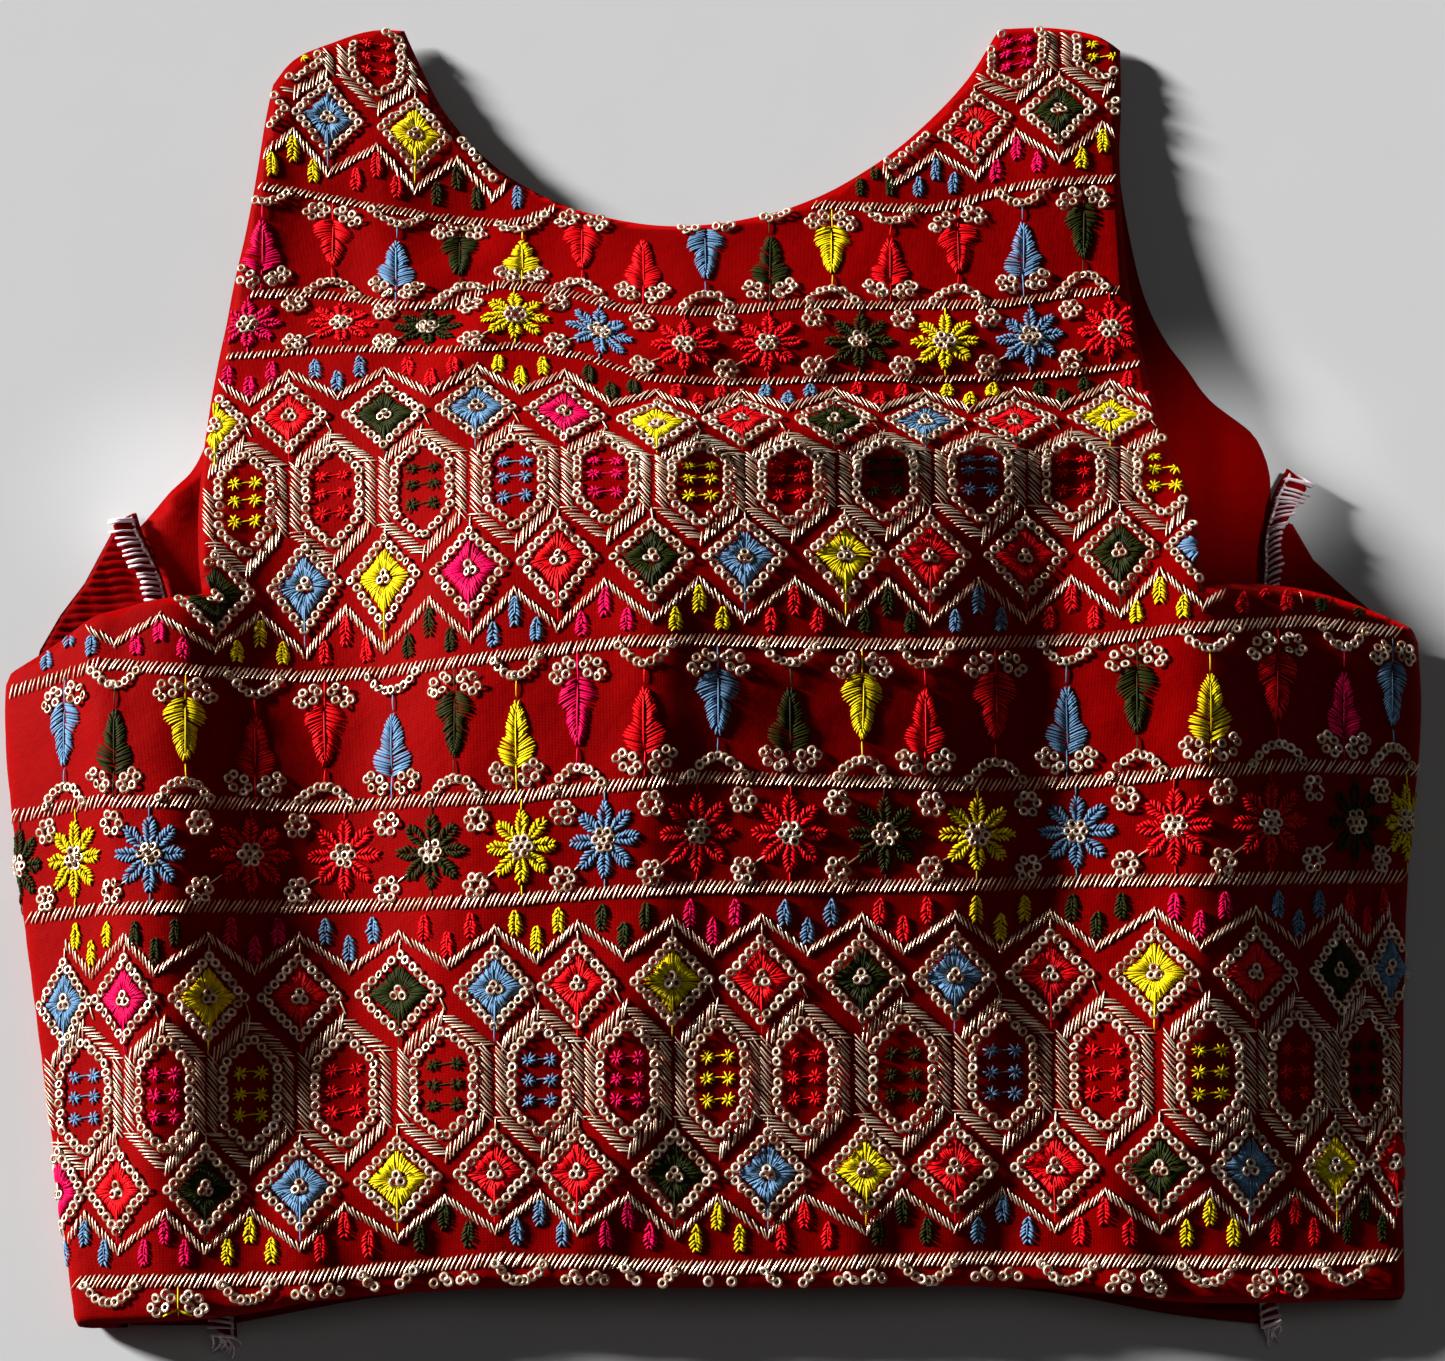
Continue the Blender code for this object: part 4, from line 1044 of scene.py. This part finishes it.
def add_operator(word, operation):
    """Gives Signal one of Python's operators and its reflected form, each as a Math node."""
    setattr(Signal, "__%s__" % word, lambda self, other: self.maths(operation, self, other))
    setattr(Signal, "__r%s__" % word, lambda self, other: self.maths(operation, other, self))


for word, operation in (("add", "ADD"), ("sub", "SUBTRACT"), ("mul", "MULTIPLY")):
    add_operator(word, operation)


class Finish:
    """A material made of nodes around one Principled shader."""

    def __init__(self, name, **constants):
        self.material = bpy.data.materials.new(name)
        self.material.use_nodes = True
        self.tree = self.material.node_tree
        self.principled = self.tree.nodes["Principled BSDF"]
        for socket, value in constants.items():
            self.principled.inputs[socket.replace("_", " ")].default_value = value

    def node(self, kind, settings=None, inputs=None, output=0):
        """Adds a node: its settings first, then the values or links of its sockets."""
        node = self.tree.nodes.new(kind)
        for name, value in (settings or {}).items():
            setattr(node, name, value)
        for key, value in (inputs or {}).items():
            self.join(node.inputs[key], value)
        return Signal(self, node.outputs[output])

    def join(self, socket, value):
        """Gives a socket a value or another node's output."""
        if isinstance(value, Signal):
            self.tree.links.new(value.socket, socket)
        else:
            socket.default_value = value

    def feed(self, **signals):
        """Links signals to the Principled shader's sockets."""
        for socket, value in signals.items():
            self.join(self.principled.inputs[socket.replace("_", " ")], value)

    def place(self):
        """The point on the object, in metres."""
        return self.node("ShaderNodeTexCoord", output="Object")

    def attribute(self, name):
        """A number kept on the mesh's points."""
        return self.node("ShaderNodeAttribute", {"attribute_name": name}, output="Fac")

    def noise(self, place, scale, detail=2.0, roughness=0.5):
        """Fractal noise from 0 to 1."""
        return self.node("ShaderNodeTexNoise", None,
                         {"Vector": place, "Scale": scale, "Detail": detail, "Roughness": roughness})

    def blend(self, share, first, second):
        """A colour between two by a share."""
        return self.node("ShaderNodeMix", {"data_type": "RGBA"},
                         {"Factor": share, 6: first, 7: second}, 2)

    def axis(self, place, letter):
        """One coordinate of a point."""
        return self.node("ShaderNodeSeparateXYZ", None, {0: place}, letter)

    def bump(self, height, distance, strength=1.0):
        """A normal tipped by a height map, its full depth in metres."""
        return self.node("ShaderNodeBump", None,
                         {"Height": height, "Distance": distance, "Strength": strength})


def tinted(colour, factor):
    """A colour made lighter or darker by a factor."""
    return tuple(min(1.0, part * factor) for part in colour[:3]) + (1.0,)


def cloth_finish(name, colour, sheen):
    """Soft satin cloth: uneven dye, a fine weave along the chart, and tiny puckers."""
    finish = Finish(name, Sheen_Weight=sheen, Sheen_Roughness=0.4, Sheen_Tint=(1, 0.0, 0.0, 1),
                    Specular_IOR_Level=0.02, Specular_Tint=(1, 0.01, 0.01, 1))
    place = finish.place()
    cloud = finish.noise(place, 28.0, 3.0)
    slub = finish.noise(place, 260.0, 2.0)
    share = (cloud * 0.7 + slub * 0.3 - 0.3) * 1.6
    finish.feed(Base_Color=finish.blend(share.clamped(), tinted(colour, 0.78), tinted(colour, 1.12)))
    uv = finish.node("ShaderNodeUVMap", {"uv_map": "cloth"})
    warp = (finish.axis(uv, "X") * (2 * math.pi / 0.00042)).wave()
    weft = (finish.axis(uv, "Y") * (2 * math.pi / 0.00042)).wave()
    crumple = finish.noise(place, 420.0, 3.0, 0.6)
    height = warp * weft * 0.18 + crumple * 0.5 + finish.noise(place, 120.0, 2.0) * 1.1
    finish.feed(Roughness=0.42 + slub * 0.2, Normal=finish.bump(height, 0.00045, 0.9))
    return finish.material


def thread_finish(name, colour, roughness=0.42, sheen=0.4):
    """Silky thread: each stitch has its own tone, with fine fibres along and across it."""
    finish = Finish(name, Sheen_Weight=sheen, Sheen_Roughness=0.3, Sheen_Tint=tinted(colour, 1.3),
                    Specular_IOR_Level=0.05)
    tone = finish.attribute("tone")
    fibre = finish.noise(finish.place(), 2600.0, 2.0)
    share = (tone * 0.65 + fibre * 0.5 - 0.1).clamped()
    finish.feed(Base_Color=finish.blend(share, tinted(colour, 0.5), tinted(colour, 1.35)),
                Roughness=roughness + fibre * 0.18, Normal=finish.bump(fibre, 0.00012, 0.8))
    return finish.material


def metal_finish(name, pale, deep, roughness, metallic):
    """Pale gilt metal: tones from stitch to stitch and a fine crimp in the surface."""
    finish = Finish(name, Metallic=metallic)
    tone = finish.attribute("tone")
    crimp = finish.noise(finish.place(), 1900.0, 2.0)
    share = (tone * 0.8 + crimp * 0.5 - 0.15).clamped()
    finish.feed(Base_Color=finish.blend(share, deep, pale), Roughness=roughness + crimp * 0.15,
                Normal=finish.bump(crimp, 0.0001, 0.7))
    return finish.material


def length(name, description, default, least):
    """A setting for a length in metres."""
    return bpy.props.FloatProperty(name=name, description=description, default=default, min=least,
                                   unit="LENGTH")


def colour(name, description, *default):
    """A setting for a colour: red, green and blue."""
    return bpy.props.FloatVectorProperty(name=name, description=description, subtype="COLOR",
                                         default=default, min=0.0, max=1.0)


class BlouseSizes(bpy.types.PropertyGroup):
    """Sizes of the blouse's pieces."""

    front_wall: length("Front thickness", "Thickness of the embroidered front", 0.0018, 0.0005)
    front_grid: length("Front grid", "Size of the front's mesh cells", 0.0026, 0.001)
    sequin: length("Sequin", "Outer diameter of a ring sequin", 0.0032, 0.001)
    sequin_hole: length("Sequin hole", "Diameter of the hole in a ring sequin", 0.0011, 0.0002)
    overlock_thread: length("Overlock thread", "Thickness of the overlock thread", 0.0010, 0.0001)
    overlock_pitch: length("Overlock pitch", "Distance between two overlock loops", 0.0021, 0.0005)
    key_power: bpy.props.FloatProperty(
        name="Key light", description="Strength of the key light", default=11.2, min=0.0)


class BlouseColours(bpy.types.PropertyGroup):
    """Colours of the blouse's cloth and threads."""

    cloth: colour("Cloth", "Colour of the front and back", 0.225, 0.0002, 0.0003)
    shirred: colour("Shirred cloth", "Colour of the gathered side panels", 0.20, 0.0003, 0.0005)
    overlock: colour("Overlock", "Colour of the overlock thread", 0.88, 0.62, 0.66)
    metal: colour("Metal thread", "Lighter colour of the metal thread", 1.0, 0.86, 0.66)
    sequin: colour("Sequins", "Lighter colour of the sequins", 1.0, 0.85, 0.66)
    yellow: colour("Yellow", "Colour of the yellow thread", 0.95, 0.62, 0.004)
    blue: colour("Blue", "Colour of the blue thread", 0.12, 0.24, 0.40)
    green: colour("Green", "Colour of the dark green thread", 0.018, 0.022, 0.003)
    red: colour("Red", "Colour of the red thread", 0.80, 0.002, 0.006)
    pink: colour("Pink", "Colour of the pink thread", 0.88, 0.001, 0.08)


# The stage: half the floor's side and its depth below the cloth in metres, its tones, and the world's light
FLOOR_HALF, FLOOR_DROP, FLOOR_TONES, WORLD_STRENGTH = 2.0, 0.0004, (0.62, 0.64), 0.021
# Lights: kind, place, size (degrees, or an area's side in metres), power in watts and target.
# The key is a sun, whose power is a setting. The two spots reach into the armholes.
LIGHTS = {
    "key": ("SUN", (-2.4, 1.0, 0.68), 9, None, (0, 0, 0)),
    "top": ("AREA", (0.5, 0.2, 2.4), 1.4, 2.0, (0, 0, 0)),
    "armhole_right": ("SPOT", (0.42, 0.10, 0.42), 8.5, 9.0, (0.156, 0.06, 0)),
    "armhole_left": ("SPOT", (-0.5, 0.12, 0.5), 8, 6.0, (-0.16, 0.05, 0)),
}


class BLOUSE_OT_stage(bpy.types.Operator):
    """Makes the floor, the lights and the camera"""

    bl_idname = "blouse.stage"
    bl_label = "Stage"

    def execute(self, context):
        """Puts a plain pale floor under the blouse and looks down at it from in front."""
        scene = context.scene
        corners = [(x * FLOOR_HALF, y * FLOOR_HALF, 0) for x, y in ((-1, -1), (1, -1), (1, 1), (-1, 1))]
        mesh = bpy.data.meshes.new("floor")
        mesh.from_pydata(corners, [], [(0, 1, 2, 3)])
        floor = bpy.data.objects.new("floor", mesh)
        floor.location.z = -FLOOR_DROP
        finish = Finish("pale_floor", Roughness=0.85)
        grain = finish.noise(finish.place(), 40.0)
        dark, light = ((tone, tone, tone, 1) for tone in FLOOR_TONES)
        finish.feed(Base_Color=finish.blend(grain, dark, light))
        mesh.materials.append(finish.material)
        scene.collection.objects.link(floor)
        world = bpy.data.worlds.new("soft_light")
        world.use_nodes = True
        background = world.node_tree.nodes["Background"].inputs
        background["Color"].default_value = (1, 1, 1, 1)
        background["Strength"].default_value = WORLD_STRENGTH
        scene.world = world
        scene.view_settings.view_transform = "Standard"
        for name in LIGHTS:
            self.light(scene, name, *LIGHTS[name])
        camera = bpy.data.cameras.new("camera")
        camera.sensor_width = SENSOR
        camera.sensor_fit = "HORIZONTAL"
        camera.lens = SENSOR * DISTANCE / (PICTURE_WIDTH * PIXEL)
        camera.clip_start = 0.01
        viewer = bpy.data.objects.new("camera", camera)
        place = TARGET + DISTANCE * np.array((0, -math.sin(TILT), math.cos(TILT)))
        viewer.location = to_frame(place)
        viewer.rotation_euler = (TILT, 0, 0)
        scene.collection.objects.link(viewer)
        scene.camera = viewer
        return {"FINISHED"}

    def light(self, scene, name, kind, place, size, power, target):
        """A light turned from its place to its target."""
        data = bpy.data.lights.new(name, kind)
        if kind == "AREA":
            data.size = size
        elif kind == "SUN":
            data.angle = math.radians(size)
        else:
            data.spot_size = math.radians(size)
            data.spot_blend = 1.0
            data.shadow_soft_size = 0.02
        data.energy = power or scene.blouse_sizes.key_power
        lamp = bpy.data.objects.new(name, data)
        lamp.location = place
        away = np.array(place) - np.array(target)
        away /= np.linalg.norm(away)
        lamp.rotation_euler = (math.acos(away[2]), 0, math.atan2(away[0], -away[1]))
        scene.collection.objects.link(lamp)


class BLOUSE_OT_front(bpy.types.Operator):
    """Makes the embroidered front's cloth"""

    bl_idname = "blouse.front"
    bl_label = "Front"

    def execute(self, context):
        """Lays the front as one sheet that is puffed over the bust and rolled under at the sides."""
        sizes, colours = context.scene.blouse_sizes, context.scene.blouse_colours
        material = cloth_finish("front_cloth", colours.cloth, 0.35)
        piece = sheet_of("front_cloth", front_outline(EDGE_STEP), sizes.front_grid / MM, front_place,
                         normal_of, sizes.front_wall / MM, material)
        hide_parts("front_panel")
        return {"FINISHED"}


# Soft folds of the back beside the armholes: middle x, y, their half sizes and height.
BACK_FOLDS = (
    (157, 58, 5.0, 22, 3.2),
    (147, 92, 4.0, 18, 2.0),
    (-165, 50, 5.0, 14, 2.6),
    (-154, 78, 4.0, 20, 2.0),
)
# Height of the back's faintest waves, and how much thinner its cloth is than its wall
BACK_WAVE, BACK_THIN = 0.12, 0.25


def back_place(x, y):
    """The back's upper face: flat, with the faintest long waves and soft folds at the armholes."""
    wave = BACK_WAVE * np.sin(x / 17.0 + np.sin(y / 40.0)) * np.sin(y / 23.0)
    for middle_x, middle_y, half_x, half_y, height in BACK_FOLDS:
        wave = wave + height * np.exp(-((x - middle_x) / half_x) ** 2 - ((y - middle_y) / half_y) ** 2)
    return np.stack((x, y, BACK_WALL + wave - BACK_WAVE), axis=-1)


def straight_up(x, y):
    """The normal of a piece that lies flat."""
    return np.stack((np.zeros_like(x), np.zeros_like(x), np.ones_like(x)), axis=-1)


class BLOUSE_OT_back(bpy.types.Operator):
    """Makes the plain back's cloth"""

    bl_idname = "blouse.back"
    bl_label = "Back"

    def execute(self, context):
        """Lays the back flat on the surface."""
        colours = context.scene.blouse_colours
        piece = sheet_of("back_cloth", back_outline(EDGE_STEP), EDGE_STEP, back_place, straight_up,
                         BACK_WALL - BACK_THIN, cloth_finish("back_cloth", colours.cloth, 0.3))
        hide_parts("back_panel")
        return {"FINISHED"}


def seam_x(rows, y):
    """A seam's x at plan y, from its rows."""
    table = np.array(sorted((row[1], row[0]) for row in rows))
    return np.interp(y, table[:, 0], table[:, 1])


# Mesh cells across a side panel and down one rib, the space between its rows of elastic, the
# width over which its ribs fade at its edges, and its ground below the back's face
PANEL_COLUMNS, RIB_CELLS, ELASTIC_PITCH, PANEL_FADE, PANEL_DROP = 26, 6, 7.5, 1.6, 0.5


def shirred_piece(name, side, seam, top, hem_y, material):
    """A side panel gathered on elastic: rows of rounded ribs that dip at each line of stitches."""
    sign = -1 if side == "left" else 1
    y = np.linspace(top[0][1], hem_y, int((top[0][1] - hem_y) / RIB_PITCH * RIB_CELLS))[:, None]
    flange_x = section(side + "_x", y) + sign * (section(side + "_reach", y) - EDGE_RADIUS - FLANGE)
    outer_x = np.where(y > top[-1][1], seam_x(top, y), flange_x - sign * SEAM_GAP)
    inner_x = seam_x(seam, y) + sign * SEAM_GAP
    t = np.linspace(0, 1, PANEL_COLUMNS)[None, :]
    x = inner_x + (outer_x - inner_x) * t
    across = np.abs(outer_x - inner_x)
    wobble = 0.55 * np.sin(x / 5.3 + 1.3 * np.sin(y / 19.0)) + 0.35 * np.sin(x / 2.9 + y / 7.0)
    rib = np.abs(np.sin(math.pi * (y + wobble) / RIB_PITCH)) ** 0.8
    uneven = 0.8 + 0.2 * np.sin(y / 3.7 + 2.0 * np.sin(x / 8.0))
    elastic = np.abs(np.sin(math.pi * t * across / ELASTIC_PITCH)) ** 0.5
    ends = smooth_step(t * across / PANEL_FADE) * smooth_step((1 - t) * across / PANEL_FADE)
    z = BACK_WALL - PANEL_DROP + ends * (
        0.35 + RIB_HEIGHT * 1.15 * rib * uneven * (0.45 + 0.55 * elastic))
    upper = np.stack((x, y + 0 * x, z), axis=-1)
    lower = np.stack((x, y + 0 * x, np.zeros_like(x)), axis=-1)
    return closed_grid(name, upper, lower, material, sign > 0)


def closed_grid(name, upper, lower, material, turn):
    """A closed piece between two grids of one shape, joined round their edges."""
    rows, columns = upper.shape[:2]
    number = np.arange(rows * columns).reshape(rows, columns)
    faces = grid_faces(number)
    under = faces[:, ::-1] + rows * columns
    rim = np.concatenate((number[0, :-1], number[:-1, -1], number[-1, :0:-1], number[:0:-1, 0]))
    after = np.roll(rim, -1)
    band = np.stack((after, rim, rim + rows * columns, after + rows * columns), axis=1)
    faces = np.concatenate((faces, under, band[:, ::-1]))
    if turn:
        faces = faces[:, ::-1]
    points = np.concatenate((upper.reshape(-1, 3), lower.reshape(-1, 3)))
    return make_piece(name, points, faces, material, None, points[:, :2] * MM)


def grid_faces(number):
    """Quads of a grid of point numbers."""
    return np.stack((number[:-1, :-1], number[:-1, 1:], number[1:, 1:], number[1:, :-1]),
                    axis=-1).reshape(-1, 4)


class BLOUSE_OT_sides(bpy.types.Operator):
    """Makes the two shirred side panels"""

    bl_idname = "blouse.sides"
    bl_label = "Side panels"

    def execute(self, context):
        """Gathers a flat panel at each side."""
        material = cloth_finish("shirred_cloth", context.scene.blouse_colours.shirred, 0.3)
        for side, seam, top, hem_y, length, area in (
                ("left", SEAM_LEFT, SIDE_TOP_LEFT, SIDE_HEM_LEFT_Y, 0.29, 0.0092),
                ("right", SEAM_RIGHT, SIDE_TOP_RIGHT, SIDE_HEM_RIGHT_Y, 0.285, 0.0071)):
            piece = shirred_piece("shirred_" + side, side, seam, top, hem_y, material)
            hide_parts("side_panel_" + side)
        return {"FINISHED"}


class Allowance:
    """The overlocked cloth that stands along a back seam and leans out over the side panel."""

    def __init__(self, rows, sign):
        """Rows of its foot from the top down, and the side that it leans to."""
        self.table = np.array(rows, dtype=float)
        steps = np.hypot(*np.diff(self.table[:, :2], axis=0).T)
        self.chord = np.concatenate(((0,), np.cumsum(steps)))
        self.length = self.chord[-1]
        self.sign = sign

    def at(self, run, rise, off):
        """A point a run along the seam, a rise up the cloth's width and off its middle plane."""
        run, rise, off = np.broadcast_arrays(run, rise, off)
        x, y, lean = (along(self.chord, self.table[:, i], np.clip(run, 0, self.length))
                      for i in range(3))
        middle = np.clip(run, 1.0, self.length - 1.0)
        nx, ny = (along(self.chord, self.table[:, i], middle + 1.0)
                  - along(self.chord, self.table[:, i], middle - 1.0) for i in range(2))
        size = np.hypot(nx, ny)
        out_x, out_y = -self.sign * ny / size, self.sign * nx / size
        lean = np.radians(lean + 3.0 * np.sin(run / 11.0) + 2.0 * np.sin(run / 4.7))
        rise = rise * (1 + 0.05 * np.sin(run / 6.1) + 0.04 * np.sin(run / 2.3))
        base = BACK_WALL + SEAM_GAP + ALLOWANCE_WALL / 2 * np.sin(lean)
        across, up = rise * np.sin(lean) - off * np.cos(lean), rise * np.cos(lean) + off * np.sin(lean)
        return np.stack((x + out_x * across, y + out_y * across, base + up), axis=-1)


ALLOWANCES = (("left", Allowance(ALLOWANCE_LEFT, -1)), ("right", Allowance(ALLOWANCE_RIGHT, 1)))


# The strip's rounded section: rise up its width, and share of half its wall off its middle plane
STRIP_SECTION = ((0, -1), (2.5, -1), (5, -1), (7, -1), (7.7, -0.7), (7.9, 0), (7.7, 0.7), (7, 1), (5, 1),
                 (2.5, 1), (0, 1))
# A loop of overlock: shift along the seam, rise, share of the loop's height, and place off the middle
OVERLOCK_LOOP = ((-1.6, 0.6, 0, -0.75), (-1.2, 2, 0, -1), (-0.5, 6, 0, -1), (0.1, 0, 1, 0),
                 (0.5, 6, 0, 1), (1, 2, 0, 1), (1.5, 0.6, 0, 0.75))
LOOP_HEIGHT, CHAIN_RISE, CHAIN_OFF, TAIL_COUNT = 8.7, 1.6, 0.95, 9


class BLOUSE_OT_allowances(bpy.types.Operator):
    """Makes the seam allowances and their overlock stitches"""

    bl_idname = "blouse.allowances"
    bl_label = "Seam allowances"

    def execute(self, context):
        """Stands a strip of cloth along each back seam, with thread looped over its edge."""
        sizes, colours = context.scene.blouse_sizes, context.scene.blouse_colours
        cloth = cloth_finish("allowance_cloth", tinted(colours.cloth, 0.8), 0.2)
        thread = thread_finish("overlock_thread", colours.overlock, 0.7, 0.2)
        for side, allowance in ALLOWANCES:
            piece = self.strip("allowance_" + side, allowance, cloth)
            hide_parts("seam_allowance_" + side)
            piece = self.overlock("overlock_" + side, allowance, sizes, thread)
        return {"FINISHED"}

    def strip(self, name, allowance, material):
        """The strip itself: a rounded slab section carried along the seam."""
        runs = np.linspace(0, allowance.length, 160)[:, None]
        rise, off = np.array(STRIP_SECTION, dtype=float).T[:, None]
        ends = smooth_step(0.25 + runs / 4.0) * smooth_step(0.25 + (allowance.length - runs) / 4.0)
        grid = allowance.at(runs, rise * ends, off * ALLOWANCE_WALL / 2 * 0.9)
        rows, columns = grid.shape[:2]
        number = np.arange(rows * columns).reshape(rows, columns)
        number = np.concatenate((number, number[:, :1]), axis=1)
        faces = grid_faces(number)
        points = np.concatenate((grid.reshape(-1, 3), grid[0].mean(0)[None], grid[-1].mean(0)[None]))
        first, last = rows * columns, rows * columns + 1
        start = np.stack((np.full(columns, first), number[0, 1:], number[0, :-1]), axis=1)
        end = np.stack((np.full(columns, last), number[-1, :-1], number[-1, 1:]), axis=1)
        caps = np.concatenate((start, end))
        halves = np.concatenate((faces[:, (0, 1, 2)], faces[:, (0, 2, 3)], caps))
        if allowance.sign < 0:
            halves = halves[:, ::-1]
        return make_piece(name, points, halves, material, None, points[:, :2] * MM)

    def overlock(self, name, allowance, sizes, material):
        """Loops of thread over the raw edge, and a chain along each face below it."""
        random = np.random.default_rng(3)
        pitch, radius = sizes.overlock_pitch / MM, sizes.overlock_thread / MM / 2
        run = np.arange(0.4 * pitch, allowance.length, pitch)[:, None]
        run = run + random.normal(0, 0.3, run.shape)
        height = LOOP_HEIGHT + random.normal(0, 0.45, run.shape)
        shift, rise, share, off = np.array(OVERLOCK_LOOP).T[:, None]
        paths = allowance.at(run + shift * random.normal(1, 0.3, run.shape), rise + share * height, off)
        thick = radius * random.uniform(0.75, 1.2, (len(paths), 1)) * np.ones((1, 5))
        loops = tubes(paths, thick, 5, np.array((0.0, 1.0, 0.0)))
        tails = self.tails(allowance, random, radius * 0.6)
        chain = np.linspace(-0.2, 1.25, 5)[None, :] * pitch
        climb = CHAIN_RISE + 0.5 * np.sin(np.linspace(0, math.pi, 5))[None, :]
        paths = np.concatenate([
            allowance.at(run + chain, climb + random.normal(0, 0.15, run.shape), face * CHAIN_OFF)
            for face in (-1, 1)])
        chains = tubes(paths, np.full((len(paths), 3), radius), 4, np.array((0.0, 0.0, 1.0)))
        firsts = np.cumsum([0] + [len(points) for points, _ in (loops, tails)])
        faces = np.concatenate([part[1] + first for part, first in zip((loops, tails, chains), firsts)])
        points = np.concatenate([part[0] for part in (loops, tails, chains)])
        tone = np.random.default_rng(4).random(len(points))
        return make_piece(name, points, faces, material, tone)

    def tails(self, allowance, random, radius):
        """Loose thread ends at the hem: the points and faces of a few bent tubes."""
        t = np.linspace(0, 1, 7)
        paths = []
        for rise in np.linspace(1.5, 8.5, TAIL_COUNT):
            start = allowance.at(allowance.length - 0.5, rise, 0.0)
            across, bend = random.normal(0, 2.2), random.normal(0, 1.6)
            reach = random.uniform(2.5, 6.5)
            x = start[0] + across * t + bend * np.sin(math.pi * t)
            paths.append(np.stack((x, start[1] - reach * t, start[2] * (1 - t) + 0.6 * t), axis=-1))
        paths = np.array(paths)
        return tubes(paths, np.full((len(paths), 5), radius), 5, np.array((0.0, 0.0, 1.0)))


# Deep colours of the metal thread and the sequins, then their roughness and metallic share
METAL_FINISH = ((0.45, 0.23, 0.11, 1.0), 0.28, 0.45)
SEQUIN_FINISH = ((0.45, 0.26, 0.14, 1.0), 0.22, 0.5)


class BLOUSE_OT_metal(bpy.types.Operator):
    """Makes the metal thread borders, zigzags and hexagons"""

    bl_idname = "blouse.metal"
    bl_label = "Metal thread"

    def execute(self, context):
        """Sews the metal thread on the front."""
        pale = tuple(context.scene.blouse_colours.metal) + (1.0,)
        material = metal_finish("metal_thread", pale, *METAL_FINISH)
        for name in ("metal_borders", "metal_frames"):
            stitched_piece(name, name, material)
        return {"FINISHED"}


class BLOUSE_OT_threads(bpy.types.Operator):
    """Makes the leaves, flowers, diamonds, stars and drops in coloured thread"""

    bl_idname = "blouse.threads"
    bl_label = "Coloured thread"

    def execute(self, context):
        """Sews each colour's motifs on the front."""
        colours = context.scene.blouse_colours
        for thread in THREADS.values():
            material = thread_finish(thread + "_thread", getattr(colours, thread))
            stitched_piece("stitches_" + thread, thread, material)
        return {"FINISHED"}


class BLOUSE_OT_sequins(bpy.types.Operator):
    """Makes the ring sequins"""

    bl_idname = "blouse.sequins"
    bl_label = "Sequins"

    def execute(self, context):
        """Sews the sequins on the front."""
        sizes = context.scene.blouse_sizes
        pale = tuple(context.scene.blouse_colours.sequin) + (1.0,)
        material = metal_finish("sequin", pale, *SEQUIN_FINISH)
        for name in ("sequins_rows", "sequins_diamonds", "sequins_hexagons"):
            piece = sequin_piece(name, name, material, sizes.sequin / MM, sizes.sequin_hole / MM)
        return {"FINISHED"}


STEPS = ("stage", "back", "sides", "allowances", "front", "metal", "threads", "sequins")


class BLOUSE_PT_panel(bpy.types.Panel):
    """The blouse's sizes, colours and steps"""

    bl_label = "Blouse"
    bl_space_type = "VIEW_3D"
    bl_region_type = "UI"
    bl_category = "Blouse"

    def draw(self, context):
        """Lists the properties and the operators."""
        for group in (context.scene.blouse_sizes, context.scene.blouse_colours):
            for name in group.bl_rna.properties.keys():
                if name not in ("rna_type", "name"):
                    self.layout.prop(group, name)
        for step in STEPS:
            self.layout.operator("blouse." + step)


CLASSES = (BlouseSizes, BlouseColours, BLOUSE_OT_stage, BLOUSE_OT_front, BLOUSE_OT_back,
           BLOUSE_OT_sides, BLOUSE_OT_allowances, BLOUSE_OT_metal, BLOUSE_OT_threads,
           BLOUSE_OT_sequins, BLOUSE_PT_panel)


def register():
    """Registers the classes and hangs the settings on the scene."""
    for cls in CLASSES:
        bpy.utils.register_class(cls)
    bpy.types.Scene.blouse_sizes = bpy.props.PointerProperty(type=BlouseSizes)
    bpy.types.Scene.blouse_colours = bpy.props.PointerProperty(type=BlouseColours)


def unregister():
    """Takes the settings and the classes away again."""
    del bpy.types.Scene.blouse_sizes
    del bpy.types.Scene.blouse_colours
    for cls in reversed(CLASSES):
        bpy.utils.unregister_class(cls)


def main():
    """Makes every piece in order."""
    register()
    for step in STEPS:
        getattr(bpy.ops.blouse, step)()


if __name__ == "__main__":
    main()
